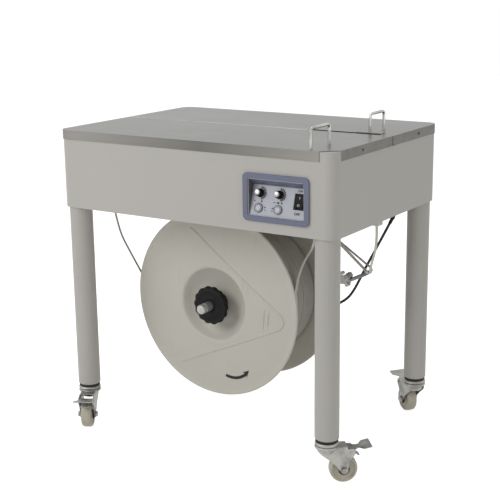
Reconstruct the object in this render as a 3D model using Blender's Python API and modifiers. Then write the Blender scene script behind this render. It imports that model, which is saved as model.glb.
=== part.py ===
"""Semi-automatic strapping machine on four braked casters, built as separate solids.

Metres, +Z up. X runs along the front, -Y is the operator's side, and the origin lies on
the floor under the middle of the whole outline, brake pedals included.
"""
import math

import bmesh
import bpy
import numpy as np
from mathutils import Matrix, Vector
from mathutils.geometry import interpolate_bezier

# ---------------------------------------------------------------- driving dimensions
TABLE_WIDTH = 0.738
TABLE_DEPTH = 0.515
TABLE_HEIGHT = 0.735
TABLE_SHEET = 0.0015
SKIRT_DROP = 0.022
SKIRT_SHEET = 0.0012
CORNER_RADIUS = 0.026
SEAM_Y = 0.009
NOTCH_WIDTH = 0.036
NOTCH_DEPTH = 0.032

BODY_BOTTOM = 0.551
BODY_SHEET = 0.0015
BODY_LIP = 0.009
BODY_LIP_CORNER = 0.035
BASE_RAISE = 0.0020
BASE_SHEET = 0.0020

FIT = 0.0003                 # gap between pieces that touch
RUNNING_FIT = 0.0005         # gap between pieces that slide or turn on each other

SLOT_START_X = 0.155
SLOT_END_X = 0.337
SLOT_WIDTH = 0.011
STRIP_SIZE = (0.066, 0.011, 0.0015)
STRIP_X = 0.304

LEG_RADIUS = 0.027
LEG_WALL = 0.0025
LEG_INSET = LEG_RADIUS + 0.005
LEG_BOTTOM = 0.1015
LEG_PLUG = 0.020
STEM_RADIUS = 0.0060
STEM_COLLAR_RADIUS = 0.0190

WHEEL_RADIUS = 0.0315
WHEEL_WIDTH = 0.026
CASTER_TRAIL = 0.036
CASTER_TOP = 0.0985
FORK_RING_RADIUS = 0.0265
FORK_RING_THICKNESS = 0.0175
FORK_SHEET = 0.0020
FORK_SIDE_GAP = 0.0035
AXLE_RADIUS = 0.0040
PEDAL_PIVOT = (0.051, 0.0715)
PEDAL_SHEET = 0.0025
PEDAL_PIN_RADIUS = 0.0022
BRAKE_GAP = 0.0013
CASTER_TURN = {              # where each caster trails to, in degrees from +X
    "front_left": -61.0,
    "front_right": 40.0,
    "rear_left": 130.0,
    "rear_right": 141.0,
}

LOOP_ROD_RADIUS = 0.0034
LOOP_HEIGHT = 0.047
LOOP_BEND = 0.0075
LOOP_X = 0.3055
FRONT_LOOP_Y = (-0.2425, -0.1640)
REAR_LOOP_Y = (0.0245, 0.0930)

PANEL_CENTRE_X = 0.230
PANEL_OPENING = (0.139, 0.0805)
PANEL_BOTTOM_Z = 0.586
PANEL_DEPTH = 0.032
PANEL_RECESS = 0.024
PANEL_WALL = 0.0015
BEZEL_MARGIN = 0.0115
BEZEL_DEPTH = 0.0040
KNOB_X = (0.184, 0.232)
KNOB_V = 0.0490
KNOB_RADIUS = 0.0098
KNOB_TIP_RADIUS = 0.0072
KNOB_HEIGHT = 0.0155
KNOB_SHAFT_RADIUS = 0.0030
BUTTON_V = 0.0170
BUTTON_RADIUS = 0.0066
BUTTON_PROUD = 0.0040
BUTTON_TRAVEL = 0.0020
ROCKER_X = 0.2815
ROCKER_V = 0.0385
ROCKER_SIZE = (0.0200, 0.0280)
ROCKER_TILT = 7.0

REEL_X = -0.039
REEL_Z = 0.318
REEL_FRONT_Y = -0.100
REEL_WIDTH = 0.190
FLANGE_RADIUS = 0.228
FLANGE_SHEET = 0.0030
CORE_RADIUS = 0.0945
RECESS_DEPTH = 0.020
RECESS_BOTTOM_RADIUS = 0.060
COIL_RADIUS = 0.168
SPINDLE_RADIUS = 0.0190
AXLE_SHAFT_RADIUS = 0.0125
AXLE_FRONT_Y = -0.162
AXLE_REAR_Y = 0.160
BRACKET_FRONT_Y = 0.115
BRACKET_SHEET = 0.008
BRACKET_WIDTH = 0.100
NUT_RADIUS = 0.0455
NUT_LOBE = 0.0018
NUT_LOBES = 12
NUT_FRONT_Y = -0.132
NUT_HEAD = 0.017

ARM_PIN = (0.197, 0.507)
ARM_PIN_RADIUS = 0.0030
ARM_ROD_RADIUS = 0.0026
ARM_BEND = (0.3135, 0.4235)
ARM_BEND_RADIUS = 0.0075
ARM_KNUCKLE = (0.2645, 0.3915)
ARM_PLANE_Y = 0.0110
CROSS_SHAFT = (0.2035, 0.3830)
CROSS_SHAFT_RADIUS = 0.0045
SHOE_THICKNESS = 0.0090
SHOE_LENGTH = 0.046
SHOE_WIDTH = 0.016
TENSION_PIN_RADIUS = 0.0030

STRAP_WIDTH = 0.012
STRAP_SHEET = 0.0008
STRAP_Y = -0.004
GUIDE_ROLLER_RADIUS = 0.0105
LEFT_STRAP_Y = -0.086
INLET_X = 0.3395
FEED_ROLLER_RADIUS = 0.011
FEED_ROLLER_Z = 0.586

SHAFT_Y = 0.016
SHAFT_Z = 0.622
CAM_SHAFT_RADIUS = 0.0080
HEAD_X = (0.168, 0.312)
HEAD_TOP = 0.7200
HEAD_BOTTOM = 0.6600
GEARBOX_X = (0.092, 0.150)
PRESS_SIZE = (0.030, 0.022, 0.0575)
MOTOR_RADIUS = 0.040
MOTOR_LENGTH = 0.130

CORD_DIAMETER = 0.0065
CORD_EXIT = (0.312, 0.140)
GLAND_LENGTH = 0.021
GLAND_NECK = 0.0080
COIL_CENTRE = (-0.176, 0.195)
COIL_TURN_RADIUS = 0.0375
CORD_COIL_HEIGHT = 0.0290
CORD_COIL_THICKNESS = 0.0220

# ---------------------------------------------------------------- values worked out
FRONT_Y = -TABLE_DEPTH / 2
SIDE_X = TABLE_WIDTH / 2
TOP_Z = TABLE_HEIGHT
PLATE_UNDER = TOP_Z - TABLE_SHEET
BODY_TOP = PLATE_UNDER - FIT
BODY_INSET = SKIRT_SHEET + FIT
BODY_FRONT_Y = FRONT_Y + BODY_INSET
BASE_BOTTOM = BODY_BOTTOM + BASE_RAISE
BASE_TOP = BASE_BOTTOM + BASE_SHEET
UNDER_BASE = BASE_BOTTOM - FIT
ON_BASE = BASE_TOP + FIT
SLOT_BACK_Y = SEAM_Y + SLOT_WIDTH
PANEL_TILT = math.atan2(PANEL_RECESS, PANEL_OPENING[1])
REEL_BACK_Y = REEL_FRONT_Y + REEL_WIDTH
BRACKET_BACK_Y = BRACKET_FRONT_Y + BRACKET_SHEET
SHOE_ANGLE = math.atan2(CROSS_SHAFT[1] - REEL_Z, CROSS_SHAFT[0] - REEL_X)
SHOE_Y = REEL_BACK_Y - FLANGE_SHEET / 2
TENSION_PIN = (ARM_BEND[0] + ARM_BEND_RADIUS, ARM_BEND[1])
STRAP_LIFT = STRAP_SHEET / 2 + FIT
LEFT_STRAP_TOP = (-0.3535, BASE_TOP + 0.012)
PRESS_TOP = HEAD_TOP - 0.013
LEG_PLACES = {
    "front_left": (-SIDE_X + LEG_INSET, FRONT_Y + LEG_INSET),
    "front_right": (SIDE_X - LEG_INSET, FRONT_Y + LEG_INSET),
    "rear_left": (-SIDE_X + LEG_INSET, -FRONT_Y - LEG_INSET),
    "rear_right": (SIDE_X - LEG_INSET, -FRONT_Y - LEG_INSET),
}
ROUND_STEPS = 24
Y_AXIS_TURN = Matrix.Rotation(-math.pi / 2, 4, "X")      # local +Z becomes +Y
X_AXIS_TURN = Matrix.Rotation(math.pi / 2, 4, "Y")       # local +Z becomes +X


# ---------------------------------------------------------------- scene and materials
def clear_scene():
    for obj in list(bpy.data.objects):
        bpy.data.objects.remove(obj, do_unlink=True)


clear_scene()
parts = bpy.data.collections.new("strapping_machine")
cutters = bpy.data.collections.new("cutters")
bpy.context.scene.collection.children.link(parts)
bpy.context.scene.collection.children.link(cutters)


def make_material(name, colour, roughness, metallic=0.0):
    material = bpy.data.materials.new(name)
    material.use_nodes = True
    shader = material.node_tree.nodes["Principled BSDF"]
    shader.inputs["Base Color"].default_value = (*colour, 1.0)
    shader.inputs["Roughness"].default_value = roughness
    shader.inputs["Metallic"].default_value = metallic
    return material


PAINT = make_material("grey_paint", (0.42, 0.40, 0.37), 0.45)
STEEL = make_material("brushed_steel", (0.55, 0.55, 0.53), 0.35, 1.0)
ZINC = make_material("zinc_plate", (0.60, 0.60, 0.58), 0.30, 1.0)
NYLON = make_material("cream_nylon", (0.45, 0.42, 0.35), 0.50)
FLANGE_PLASTIC = make_material("reel_plastic", (0.46, 0.44, 0.39), 0.50)
STRAP_PLASTIC = make_material("strap_plastic", (0.50, 0.49, 0.45), 0.40)
BLACK_PLASTIC = make_material("black_plastic", (0.02, 0.02, 0.02), 0.45)
BLUE_PLASTIC = make_material("blue_grey_plastic", (0.16, 0.18, 0.26), 0.45)
PANEL_GREY = make_material("panel_grey", (0.42, 0.43, 0.48), 0.45)
BUTTON_GREY = make_material("button_grey", (0.55, 0.56, 0.58), 0.40)
RUBBER = make_material("rubber", (0.03, 0.03, 0.03), 0.80)
CAST_METAL = make_material("cast_metal", (0.30, 0.30, 0.31), 0.60, 0.8)


# ---------------------------------------------------------------- modelling helpers
def add_object(name, mesh):
    obj = bpy.data.objects.new(name, mesh)
    parts.objects.link(obj)
    return obj


def from_bmesh(name, bm):
    bmesh.ops.recalc_face_normals(bm, faces=bm.faces)
    mesh = bpy.data.meshes.new(name)
    bm.to_mesh(mesh)
    bm.free()
    return add_object(name, mesh)


def settle(obj):
    """Turn modifiers or a curve into one welded mesh with its faces pointing out."""
    bpy.context.view_layer.update()
    evaluated = obj.evaluated_get(bpy.context.evaluated_depsgraph_get())
    mesh = bpy.data.meshes.new_from_object(evaluated)
    name = obj.name
    bm = bmesh.new()
    bm.from_mesh(mesh)
    bmesh.ops.remove_doubles(bm, verts=bm.verts, dist=1e-6)
    bmesh.ops.recalc_face_normals(bm, faces=bm.faces)
    bm.to_mesh(mesh)
    bm.free()
    mesh.transform(obj.matrix_world)
    bpy.data.objects.remove(obj)
    solid = add_object(name, mesh)
    return solid


def combine(body, tool, operation):
    """Join a tool to a body or cut it away, and drop the tool."""
    parts.objects.unlink(tool)
    cutters.objects.link(tool)
    tool.hide_render = True
    tool.display_type = "WIRE"
    modifier = body.modifiers.new(operation.lower(), "BOOLEAN")
    modifier.operation = operation
    modifier.solver = "EXACT"
    modifier.object = tool
    result = settle(body)
    bpy.data.objects.remove(tool)
    return result


def join(body, *tools):
    for tool in tools:
        body = combine(body, tool, "UNION")
    return body


def cut(body, *tools):
    for tool in tools:
        body = combine(body, tool, "DIFFERENCE")
    return body


def move(obj, offset):
    obj.data.transform(Matrix.Translation(offset))
    return obj


def box(name, low, high):
    """A block between two opposite corners."""
    bm = bmesh.new()
    bmesh.ops.create_cube(bm, size=1.0)
    size = Vector(high) - Vector(low)
    bmesh.ops.scale(bm, vec=size, verts=bm.verts)
    bmesh.ops.translate(bm, vec=(Vector(low) + Vector(high)) / 2, verts=bm.verts)
    return from_bmesh(name, bm)


def rounded_block(name, low, high, radius, segments=6):
    """A block whose four upright edges are rounded."""
    bm = bmesh.new()
    bmesh.ops.create_cube(bm, size=1.0)
    size = Vector(high) - Vector(low)
    bmesh.ops.scale(bm, vec=size, verts=bm.verts)
    bmesh.ops.translate(bm, vec=(Vector(low) + Vector(high)) / 2, verts=bm.verts)
    upright = [edge for edge in bm.edges
               if abs(edge.verts[0].co.z - edge.verts[1].co.z) > size.z / 2]
    bmesh.ops.bevel(bm, geom=upright, offset=radius, segments=segments, affect="EDGES", profile=0.5)
    return from_bmesh(name, bm)


def rod(name, start, end, radius, steps=ROUND_STEPS, end_radius=None):
    """A round bar, or a cone when its far end has another radius."""
    start, end = Vector(start), Vector(end)
    along = end - start
    bm = bmesh.new()
    bmesh.ops.create_cone(bm, cap_ends=True, segments=steps, radius1=radius,
                          radius2=radius if end_radius is None else end_radius,
                          depth=along.length)
    turn = along.to_track_quat("Z", "Y").to_matrix().to_4x4()
    bmesh.ops.transform(bm, matrix=Matrix.Translation((start + end) / 2) @ turn, verts=bm.verts)
    return from_bmesh(name, bm)


def turned(name, profile, turn=None, steps=ROUND_STEPS, ring=False):
    """A lathe shape: (radius, height) points about local Z, then turned to its axis."""
    mesh = bpy.data.meshes.new(name)
    edges = [(i, i + 1) for i in range(len(profile) - 1)]
    if ring:
        edges.append((len(profile) - 1, 0))
    mesh.from_pydata([(radius, 0.0, height) for radius, height in profile], edges, [])
    obj = add_object(name, mesh)
    screw = obj.modifiers.new("turn", "SCREW")
    screw.axis = "Z"
    screw.angle = 2 * math.pi
    screw.steps = steps
    screw.render_steps = steps
    screw.use_merge_vertices = True
    screw.merge_threshold = 0.00001
    solid = settle(obj)
    if turn is not None:
        solid.data.transform(turn)
    return solid


def flat_plate(name, outline, thickness, turn=None):
    """A sheet cut to an outline of (x, y) points, centred on its own plane."""
    curve = bpy.data.curves.new(name, "CURVE")
    curve.dimensions = "2D"
    curve.fill_mode = "BOTH"
    curve.extrude = thickness / 2
    spline = curve.splines.new("POLY")
    spline.points.add(len(outline) - 1)
    for point, (x, y) in zip(spline.points, outline):
        point.co = (x, y, 0.0, 1.0)
    spline.use_cyclic_u = True
    solid = settle(add_object(name, curve))
    if turn is not None:
        solid.data.transform(turn)
    return solid


def wire(name, points, radius, resolution=3):
    """A round wire or cord along a list of points."""
    curve = bpy.data.curves.new(name, "CURVE")
    curve.dimensions = "3D"
    curve.bevel_depth = radius
    curve.bevel_resolution = resolution
    curve.use_fill_caps = True
    spline = curve.splines.new("POLY")
    spline.points.add(len(points) - 1)
    for point, place in zip(spline.points, points):
        point.co = (*place, 1.0)
    return add_object(name, curve)


def arc(centre, radius, start, end, steps):
    """Points on a circle, from one angle to another, in degrees."""
    angles = [math.radians(start + (end - start) * i / steps) for i in range(steps + 1)]
    return [(centre[0] + radius * math.cos(a), centre[1] + radius * math.sin(a)) for a in angles]


def smooth_path(points, per_span):
    """Points on a smooth curve that passes through every given point."""
    knots = [Vector(point) for point in points]
    path = [knots[0]]
    for i in range(len(knots) - 1):
        before = knots[max(i - 1, 0)]
        after = knots[min(i + 2, len(knots) - 1)]
        span = (knots[i + 1] - knots[i]).length
        lead = (knots[i + 1] - before).normalized() * span / 3
        trail = (after - knots[i]).normalized() * span / 3
        path += interpolate_bezier(knots[i], knots[i] + lead, knots[i + 1] - trail,
                                   knots[i + 1], per_span + 1)[1:]
    return path


def even_path(points, spacing):
    """The same path with its points an even distance apart."""
    places = np.array([tuple(point) for point in points])
    lengths = np.linalg.norm(np.diff(places, axis=0), axis=1)
    along = np.concatenate([[0.0], np.cumsum(lengths)])
    count = max(2, round(along[-1] / spacing) + 1)
    marks = np.linspace(0.0, along[-1], count)
    return [Vector([np.interp(mark, along, places[:, k]) for k in range(3)]) for mark in marks]


def ribbon(name, route, width, centre_y, sheet):
    """A flat band that follows (x, z) points, as wide as given along Y."""
    low, high = centre_y - width / 2, centre_y + width / 2
    verts = [(x, low, z) for x, z in route] + [(x, high, z) for x, z in route]
    count = len(route)
    faces = [(i, i + 1, count + i + 1, count + i) for i in range(count - 1)]
    mesh = bpy.data.meshes.new(name)
    mesh.from_pydata(verts, [], faces)
    obj = add_object(name, mesh)
    wall = obj.modifiers.new("thickness", "SOLIDIFY")
    wall.thickness = sheet
    wall.offset = 0.0
    wall.use_even_offset = True
    return settle(obj)


def finish(obj, material, parent, origin=(0.0, 0.0, 0.0)):
    """Give a piece its material, put its origin on its axis and hang it on its parent."""
    if obj.type == "MESH":
        obj.data.transform(Matrix.Translation(-Vector(origin)))
        obj.data.shade_smooth()
        obj.data.set_sharp_from_angle(angle=math.radians(30))
    obj.data.materials.clear()
    obj.data.materials.append(material)
    obj.location = origin
    obj.parent = parent
    return obj


def empty(name, place, parent=None, rotation=(0.0, 0.0, 0.0)):
    obj = bpy.data.objects.new(name, None)
    parts.objects.link(obj)
    obj.location = place
    obj.rotation_euler = rotation
    obj.parent = parent
    return obj


machine = empty("machine", (0.0, 0.0, 0.0))


# ---------------------------------------------------------------- body and table top
def body_outline(name, inset, bottom, top, radius):
    """A block with the table's plan, drawn in from its edge on all sides."""
    x, y = SIDE_X - inset, -FRONT_Y - inset
    return rounded_block(name, (-x, -y, bottom), (x, y, top), radius)


def make_body_shell():
    shell = body_outline("body_shell", BODY_INSET, BODY_BOTTOM, BODY_TOP, CORNER_RADIUS - BODY_INSET)
    wall = BODY_INSET + BODY_SHEET
    inside = body_outline("inside", wall, BODY_BOTTOM - 0.01, BODY_TOP - BODY_SHEET,
                          CORNER_RADIUS - wall)
    mouth = body_outline("mouth", BODY_INSET + BODY_LIP, BODY_BOTTOM, BODY_TOP + 0.01,
                         BODY_LIP_CORNER)
    half = PANEL_OPENING[0] / 2
    window = box("window", (PANEL_CENTRE_X - half, FRONT_Y - 0.01, PANEL_BOTTOM_Z),
                 (PANEL_CENTRE_X + half, FRONT_Y + 0.01, PANEL_BOTTOM_Z + PANEL_OPENING[1]))
    shell = cut(shell, inside, mouth, window)
    return finish(shell, PAINT, machine)


def make_base_plate():
    inset = BODY_INSET + BODY_SHEET + FIT
    plate = body_outline("base_plate", inset, BASE_BOTTOM, BASE_TOP, CORNER_RADIUS - inset)
    slit = STRAP_WIDTH / 2 + 0.003
    inlet = box("inlet", (INLET_X - 0.012, STRAP_Y - slit - 0.004, BASE_BOTTOM - 0.01),
                (INLET_X + 0.012, STRAP_Y + slit + 0.004, BASE_TOP + 0.01))
    left_slit = box("left_slit", (LEFT_STRAP_TOP[0] - 0.004, LEFT_STRAP_Y - slit, BASE_BOTTOM - 0.01),
                    (LEFT_STRAP_TOP[0] + 0.004, LEFT_STRAP_Y + slit, BASE_TOP + 0.01))
    cord_hole = rod("cord_hole", (*CORD_EXIT, BASE_BOTTOM - 0.01), (*CORD_EXIT, BASE_TOP + 0.01),
                    GLAND_NECK + FIT)
    return finish(cut(plate, inlet, left_slit, cord_hole), PAINT, machine)


def table_tray(name):
    """The whole folded table top, before it is parted at the seam."""
    tray = body_outline(name, 0.0, TOP_Z - SKIRT_DROP, TOP_Z, CORNER_RADIUS)
    hollow = body_outline("hollow", SKIRT_SHEET, TOP_Z - SKIRT_DROP - 0.01, PLATE_UNDER,
                          CORNER_RADIUS - SKIRT_SHEET)
    return cut(tray, hollow)


def loop_holes(feet):
    """Drills for the two feet of a guide loop."""
    return [rod("loop_hole", (LOOP_X, y, PLATE_UNDER - 0.01), (LOOP_X, y, TOP_Z + 0.01),
                LOOP_ROD_RADIUS + FIT, 20) for y in feet]


def make_front_top_plate():
    plate = table_tray("front_top_plate")
    behind = box("behind", (-1.0, SEAM_Y - FIT, 0.0), (1.0, 1.0, 1.0))
    slope = math.atan2(NOTCH_DEPTH, NOTCH_WIDTH)
    notch = box("notch", (-0.1, -0.1, 0.65), (0.1, 0.0, 0.80))
    notch.data.transform(Matrix.Translation((SIDE_X - NOTCH_WIDTH / 2, FRONT_Y + NOTCH_DEPTH / 2, 0.0))
                         @ Matrix.Rotation(slope, 4, "Z"))
    plate = cut(plate, behind, notch, *loop_holes(FRONT_LOOP_Y))
    return finish(plate, STEEL, machine)


def make_rear_top_plate():
    plate = table_tray("rear_top_plate")
    ahead = box("ahead", (-1.0, -1.0, 0.0), (1.0, SEAM_Y, 1.0))
    slot = box("slot", (SLOT_START_X, SEAM_Y - 0.01, PLATE_UNDER - 0.01),
               (SLOT_END_X, SLOT_BACK_Y, TOP_Z + 0.01))
    length, width, height = STRIP_SIZE
    strip = box("strip", (STRIP_X - length / 2, SLOT_BACK_Y + 0.0035, PLATE_UNDER + 0.0005),
                (STRIP_X + length / 2, SLOT_BACK_Y + 0.0035 + width, TOP_Z + height))
    plate = join(cut(plate, ahead, slot), strip)
    return finish(cut(plate, *loop_holes(REAR_LOOP_Y)), STEEL, machine)


def make_guide_loop(name, feet):
    """A rod bent into a low arch along Y, with both feet through the table."""
    foot = PLATE_UNDER - 0.006
    crown = TOP_Z + LOOP_HEIGHT - LOOP_ROD_RADIUS
    first_y, last_y = feet
    near = arc((first_y + LOOP_BEND, crown - LOOP_BEND), LOOP_BEND, 180.0, 90.0, 6)
    far = arc((last_y - LOOP_BEND, crown - LOOP_BEND), LOOP_BEND, 90.0, 0.0, 6)
    route = [(first_y, foot)] + near + far + [(last_y, foot)]
    loop = wire(name, [(LOOP_X, y, z) for y, z in route], LOOP_ROD_RADIUS)
    return finish(settle(loop), STEEL, machine)


# ---------------------------------------------------------------- legs and casters
def make_leg(corner):
    """A tube with a plugged foot, and the stem that the caster turns on."""
    x, y = LEG_PLACES[corner]
    inner = LEG_RADIUS - LEG_WALL
    lip = 0.003
    profile = [
        (inner, UNDER_BASE),
        (LEG_RADIUS, UNDER_BASE),
        (LEG_RADIUS, LEG_BOTTOM + lip),
        (LEG_RADIUS - lip, LEG_BOTTOM),
        (STEM_COLLAR_RADIUS, LEG_BOTTOM),
        (STEM_COLLAR_RADIUS, CASTER_TOP + FIT),
        (STEM_RADIUS, CASTER_TOP + FIT),
        (STEM_RADIUS, CASTER_TOP - FORK_RING_THICKNESS + 0.003),
        (0.0, CASTER_TOP - FORK_RING_THICKNESS + 0.003),
    ]
    inside = [(0.0, LEG_BOTTOM + LEG_PLUG), (inner, LEG_BOTTOM + LEG_PLUG)]
    leg = turned("leg_" + corner, inside + profile, steps=ROUND_STEPS, ring=False)
    return finish(move(leg, (x, y, 0.0)), PAINT, machine)


def fork_side_outline():
    """One cheek of the fork, seen from its side, in (trail, height)."""
    top = CASTER_TOP - FORK_RING_THICKNESS + 0.001
    foot = arc((CASTER_TRAIL, WHEEL_RADIUS), 0.0085, -35.0, -145.0, 6)
    return [(-0.022, top), (PEDAL_PIVOT[0] + 0.006, top), (PEDAL_PIVOT[0] + 0.008, PEDAL_PIVOT[1] - 0.004),
            (0.048, 0.060), (0.0435, 0.048)] + foot + [(0.012, 0.052), (-0.010, 0.068)]


def make_fork(corner, holder):
    """The swivel head: a pressed ring with two cheeks that hold the axle and the pedal."""
    side_y = WHEEL_WIDTH / 2 + FORK_SIDE_GAP + FORK_SHEET / 2
    bottom = CASTER_TOP - FORK_RING_THICKNESS
    ring = turned("fork_" + corner, [
        (0.0, CASTER_TOP),
        (FORK_RING_RADIUS - 0.002, CASTER_TOP),
        (FORK_RING_RADIUS, CASTER_TOP - 0.003),
        (FORK_RING_RADIUS, bottom + 0.0015),
        (FORK_RING_RADIUS - 0.002, bottom),
        (0.0, bottom),
    ])
    reach = PEDAL_PIVOT[0] - 0.011
    hood = box("hood", (0.0, -side_y - FORK_SHEET / 2, bottom + 0.0002),
               (reach, side_y + FORK_SHEET / 2, bottom + 0.0045))
    bowl = rod("bowl", (0.0, 0.0, bottom + 0.001), (0.0, 0.0, bottom - 0.0145), FORK_RING_RADIUS - 0.001,
               end_radius=0.0165)
    cheeks = []
    for sign in (-1, 1):
        cheek = flat_plate("cheek", fork_side_outline(), FORK_SHEET, Matrix.Rotation(math.pi / 2, 4, "X"))
        cheeks.append(move(cheek, (0.0, sign * side_y, 0.0)))
    fork = join(ring, bowl, hood, *cheeks)
    wide = side_y + 0.01
    stem_hole = rod("stem_hole", (0.0, 0.0, bottom + 0.003 - RUNNING_FIT), (0.0, 0.0, CASTER_TOP + 0.01),
                    STEM_RADIUS + RUNNING_FIT)
    axle_hole = rod("axle_hole", (CASTER_TRAIL, -wide, WHEEL_RADIUS), (CASTER_TRAIL, wide, WHEEL_RADIUS),
                    AXLE_RADIUS + FIT, 20)
    u, z = PEDAL_PIVOT
    pin_hole = rod("pin_hole", (u, -wide, z), (u, wide, z), PEDAL_PIN_RADIUS + FIT, 16)
    return finish(cut(fork, stem_hole, axle_hole, pin_hole), ZINC, holder)


def make_wheel(corner, holder):
    half = WHEEL_WIDTH / 2
    bore = AXLE_RADIUS + RUNNING_FIT
    profile = [
        (bore, half), (0.0100, half), (0.0125, half - 0.003), (0.0220, half - 0.003),
        (WHEEL_RADIUS - 0.0030, half - 0.001), (WHEEL_RADIUS, half - 0.0055),
        (WHEEL_RADIUS, -half + 0.0055), (WHEEL_RADIUS - 0.0030, -half + 0.001),
        (0.0220, -half + 0.003), (0.0125, -half + 0.003), (0.0100, -half), (bore, -half),
    ]
    wheel = turned("wheel_" + corner, profile, Y_AXIS_TURN, ring=True)
    place = (CASTER_TRAIL, 0.0, WHEEL_RADIUS)
    return finish(move(wheel, place), NYLON, holder, place)


def make_axle(corner, holder):
    """The wheel's bolt, with a head on one end and its nut on the other."""
    cheek = WHEEL_WIDTH / 2 + FORK_SIDE_GAP + FORK_SHEET + FIT
    head = 0.0060
    profile = [(0.0, cheek + head), (0.0062, cheek + head), (0.0068, cheek + head - 0.001), (0.0068, cheek),
               (AXLE_RADIUS, cheek), (AXLE_RADIUS, -cheek), (0.0068, -cheek),
               (0.0068, -cheek - head + 0.001), (0.0062, -cheek - head), (0.0, -cheek - head)]
    axle = turned("axle_" + corner, profile, Y_AXIS_TURN, steps=18)
    return finish(move(axle, (CASTER_TRAIL, 0.0, WHEEL_RADIUS)), ZINC, holder)


def make_pedal(corner, holder):
    """The foot lever: a barrel between the cheeks, a sheet arm and a tilted foot tab."""
    u, z = PEDAL_PIVOT
    inner = WHEEL_WIDTH / 2 + FORK_SIDE_GAP
    outer = inner + FORK_SHEET + 0.001
    barrel = rod("pedal_" + corner, (u, -inner + FIT, z), (u, inner - FIT, z), 0.0055, 18)
    pin = rod("pin", (u, -outer, z), (u, outer, z), PEDAL_PIN_RADIUS, 12)
    rise = math.radians(12.0)
    arm_half = inner - 0.001
    outline = [(-0.004, -arm_half), (0.010, -arm_half), (0.013, -0.007), (0.022, -0.007), (0.022, -0.020),
               (0.047, -0.020), (0.047, 0.020), (0.022, 0.020), (0.022, 0.007), (0.013, 0.007),
               (0.010, arm_half), (-0.004, arm_half)]
    lever = flat_plate("lever", outline, PEDAL_SHEET)
    lever.data.transform(Matrix.Translation((u, 0.0, z)) @ Matrix.Rotation(-rise, 4, "Y")
                         @ Matrix.Translation((0.0, 0.0, 0.0037)))
    press = math.radians(58.0)
    far = math.dist(PEDAL_PIVOT, (CASTER_TRAIL, WHEEL_RADIUS)) - 0.0007
    pad = box("pad", (WHEEL_RADIUS + BRAKE_GAP, -0.009, -0.005), (far, 0.009, 0.005))
    hub = Matrix.Translation((CASTER_TRAIL, 0.0, WHEEL_RADIUS))
    pad.data.transform(hub @ Matrix.Rotation(-press, 4, "Y"))
    pedal = join(barrel, pin, lever, pad)
    return finish(pedal, ZINC, holder, (u, 0.0, z))


def make_caster(corner):
    x, y = LEG_PLACES[corner]
    turn = math.radians(CASTER_TURN[corner])
    holder = empty("caster_" + corner + "_swivel", (x, y, 0.0), machine, (0.0, 0.0, turn))
    make_fork(corner, holder)
    make_wheel(corner, holder)
    make_axle(corner, holder)
    make_pedal(corner, holder)


# ---------------------------------------------------------------- control panel
def make_panel_bezel():
    half_x = PANEL_OPENING[0] / 2
    low = (PANEL_CENTRE_X - half_x, PANEL_BOTTOM_Z)
    high = (PANEL_CENTRE_X + half_x, PANEL_BOTTOM_Z + PANEL_OPENING[1])
    middle = Vector((PANEL_CENTRE_X, 0.0, (low[1] + high[1]) / 2))

    def slab(name, margin, front, back, radius):
        """A rounded slab in the plane of the front wall."""
        wide = half_x + margin
        tall = PANEL_OPENING[1] / 2 + margin
        block = rounded_block(name, (-wide, -tall, -back), (wide, tall, -front), radius)
        block.data.transform(Matrix.Rotation(math.pi / 2, 4, "X"))
        return move(block, middle)

    front = BODY_FRONT_Y - FIT - BEZEL_DEPTH
    bezel = slab("panel_bezel", BEZEL_MARGIN, front, BODY_FRONT_Y - FIT, 0.011)
    opening = slab("opening", 0.0, front - 0.01, BODY_FRONT_Y + 0.01, 0.004)
    return finish(cut(bezel, opening), BLUE_PLASTIC, machine)


panel_frame = empty("panel_frame", (0.0, BODY_FRONT_Y, PANEL_BOTTOM_Z), machine,
                    (math.pi / 2 - PANEL_TILT, 0.0, 0.0))


def make_panel_plate():
    """The tilted panel in its well, with holes for everything that sits in it."""
    half_x = PANEL_OPENING[0] / 2 - FIT
    low = Vector((PANEL_CENTRE_X - half_x, BODY_FRONT_Y - 0.002, PANEL_BOTTOM_Z + FIT))
    high = Vector((PANEL_CENTRE_X + half_x, BODY_FRONT_Y + PANEL_DEPTH,
                   PANEL_BOTTOM_Z + PANEL_OPENING[1] - FIT))
    body = rounded_block("panel_plate", (-half_x, low.z, -high.y), (half_x, high.z, -low.y), 0.0035)
    body.data.transform(Matrix.Translation((PANEL_CENTRE_X, 0.0, 0.0)) @ Matrix.Rotation(math.pi / 2, 4, "X"))
    well = box("well", low + Vector((PANEL_WALL, -0.01, PANEL_WALL)),
               (high.x - PANEL_WALL, BODY_FRONT_Y, high.z - PANEL_WALL))
    for vertex in well.data.vertices:
        if vertex.co.y > BODY_FRONT_Y - 0.001:
            vertex.co.y += (vertex.co.z - PANEL_BOTTOM_Z) * math.tan(PANEL_TILT)
    body = cut(body, well)
    body.data.transform(panel_matrix().inverted())
    holes = []
    for x in KNOB_X:
        holes.append(rod("hole", (x, KNOB_V, -0.0075), (x, KNOB_V, 0.01), KNOB_SHAFT_RADIUS + FIT, 16))
        holes.append(rod("hole", (x, BUTTON_V, -0.0120), (x, BUTTON_V, 0.01), BUTTON_RADIUS + FIT, 24))
    wide, tall = (size / 2 + RUNNING_FIT for size in ROCKER_SIZE)
    holes.append(box("hole", (ROCKER_X - wide, ROCKER_V - tall, -0.010),
                     (ROCKER_X + wide, ROCKER_V + tall, 0.01)))
    holes.append(rod("hole", (ROCKER_X - wide - 0.0022, ROCKER_V, -0.001),
                     (ROCKER_X + wide + 0.0022, ROCKER_V, -0.001),
                     0.0018, 12))
    return finish(cut(body, *holes), PANEL_GREY, panel_frame)


def panel_matrix():
    """From the panel's own frame (across, up the panel, out of it) to the machine's."""
    return Matrix.Translation((0.0, BODY_FRONT_Y, PANEL_BOTTOM_Z)) @ Matrix.Rotation(
        math.pi / 2 - PANEL_TILT, 4, "X")


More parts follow.
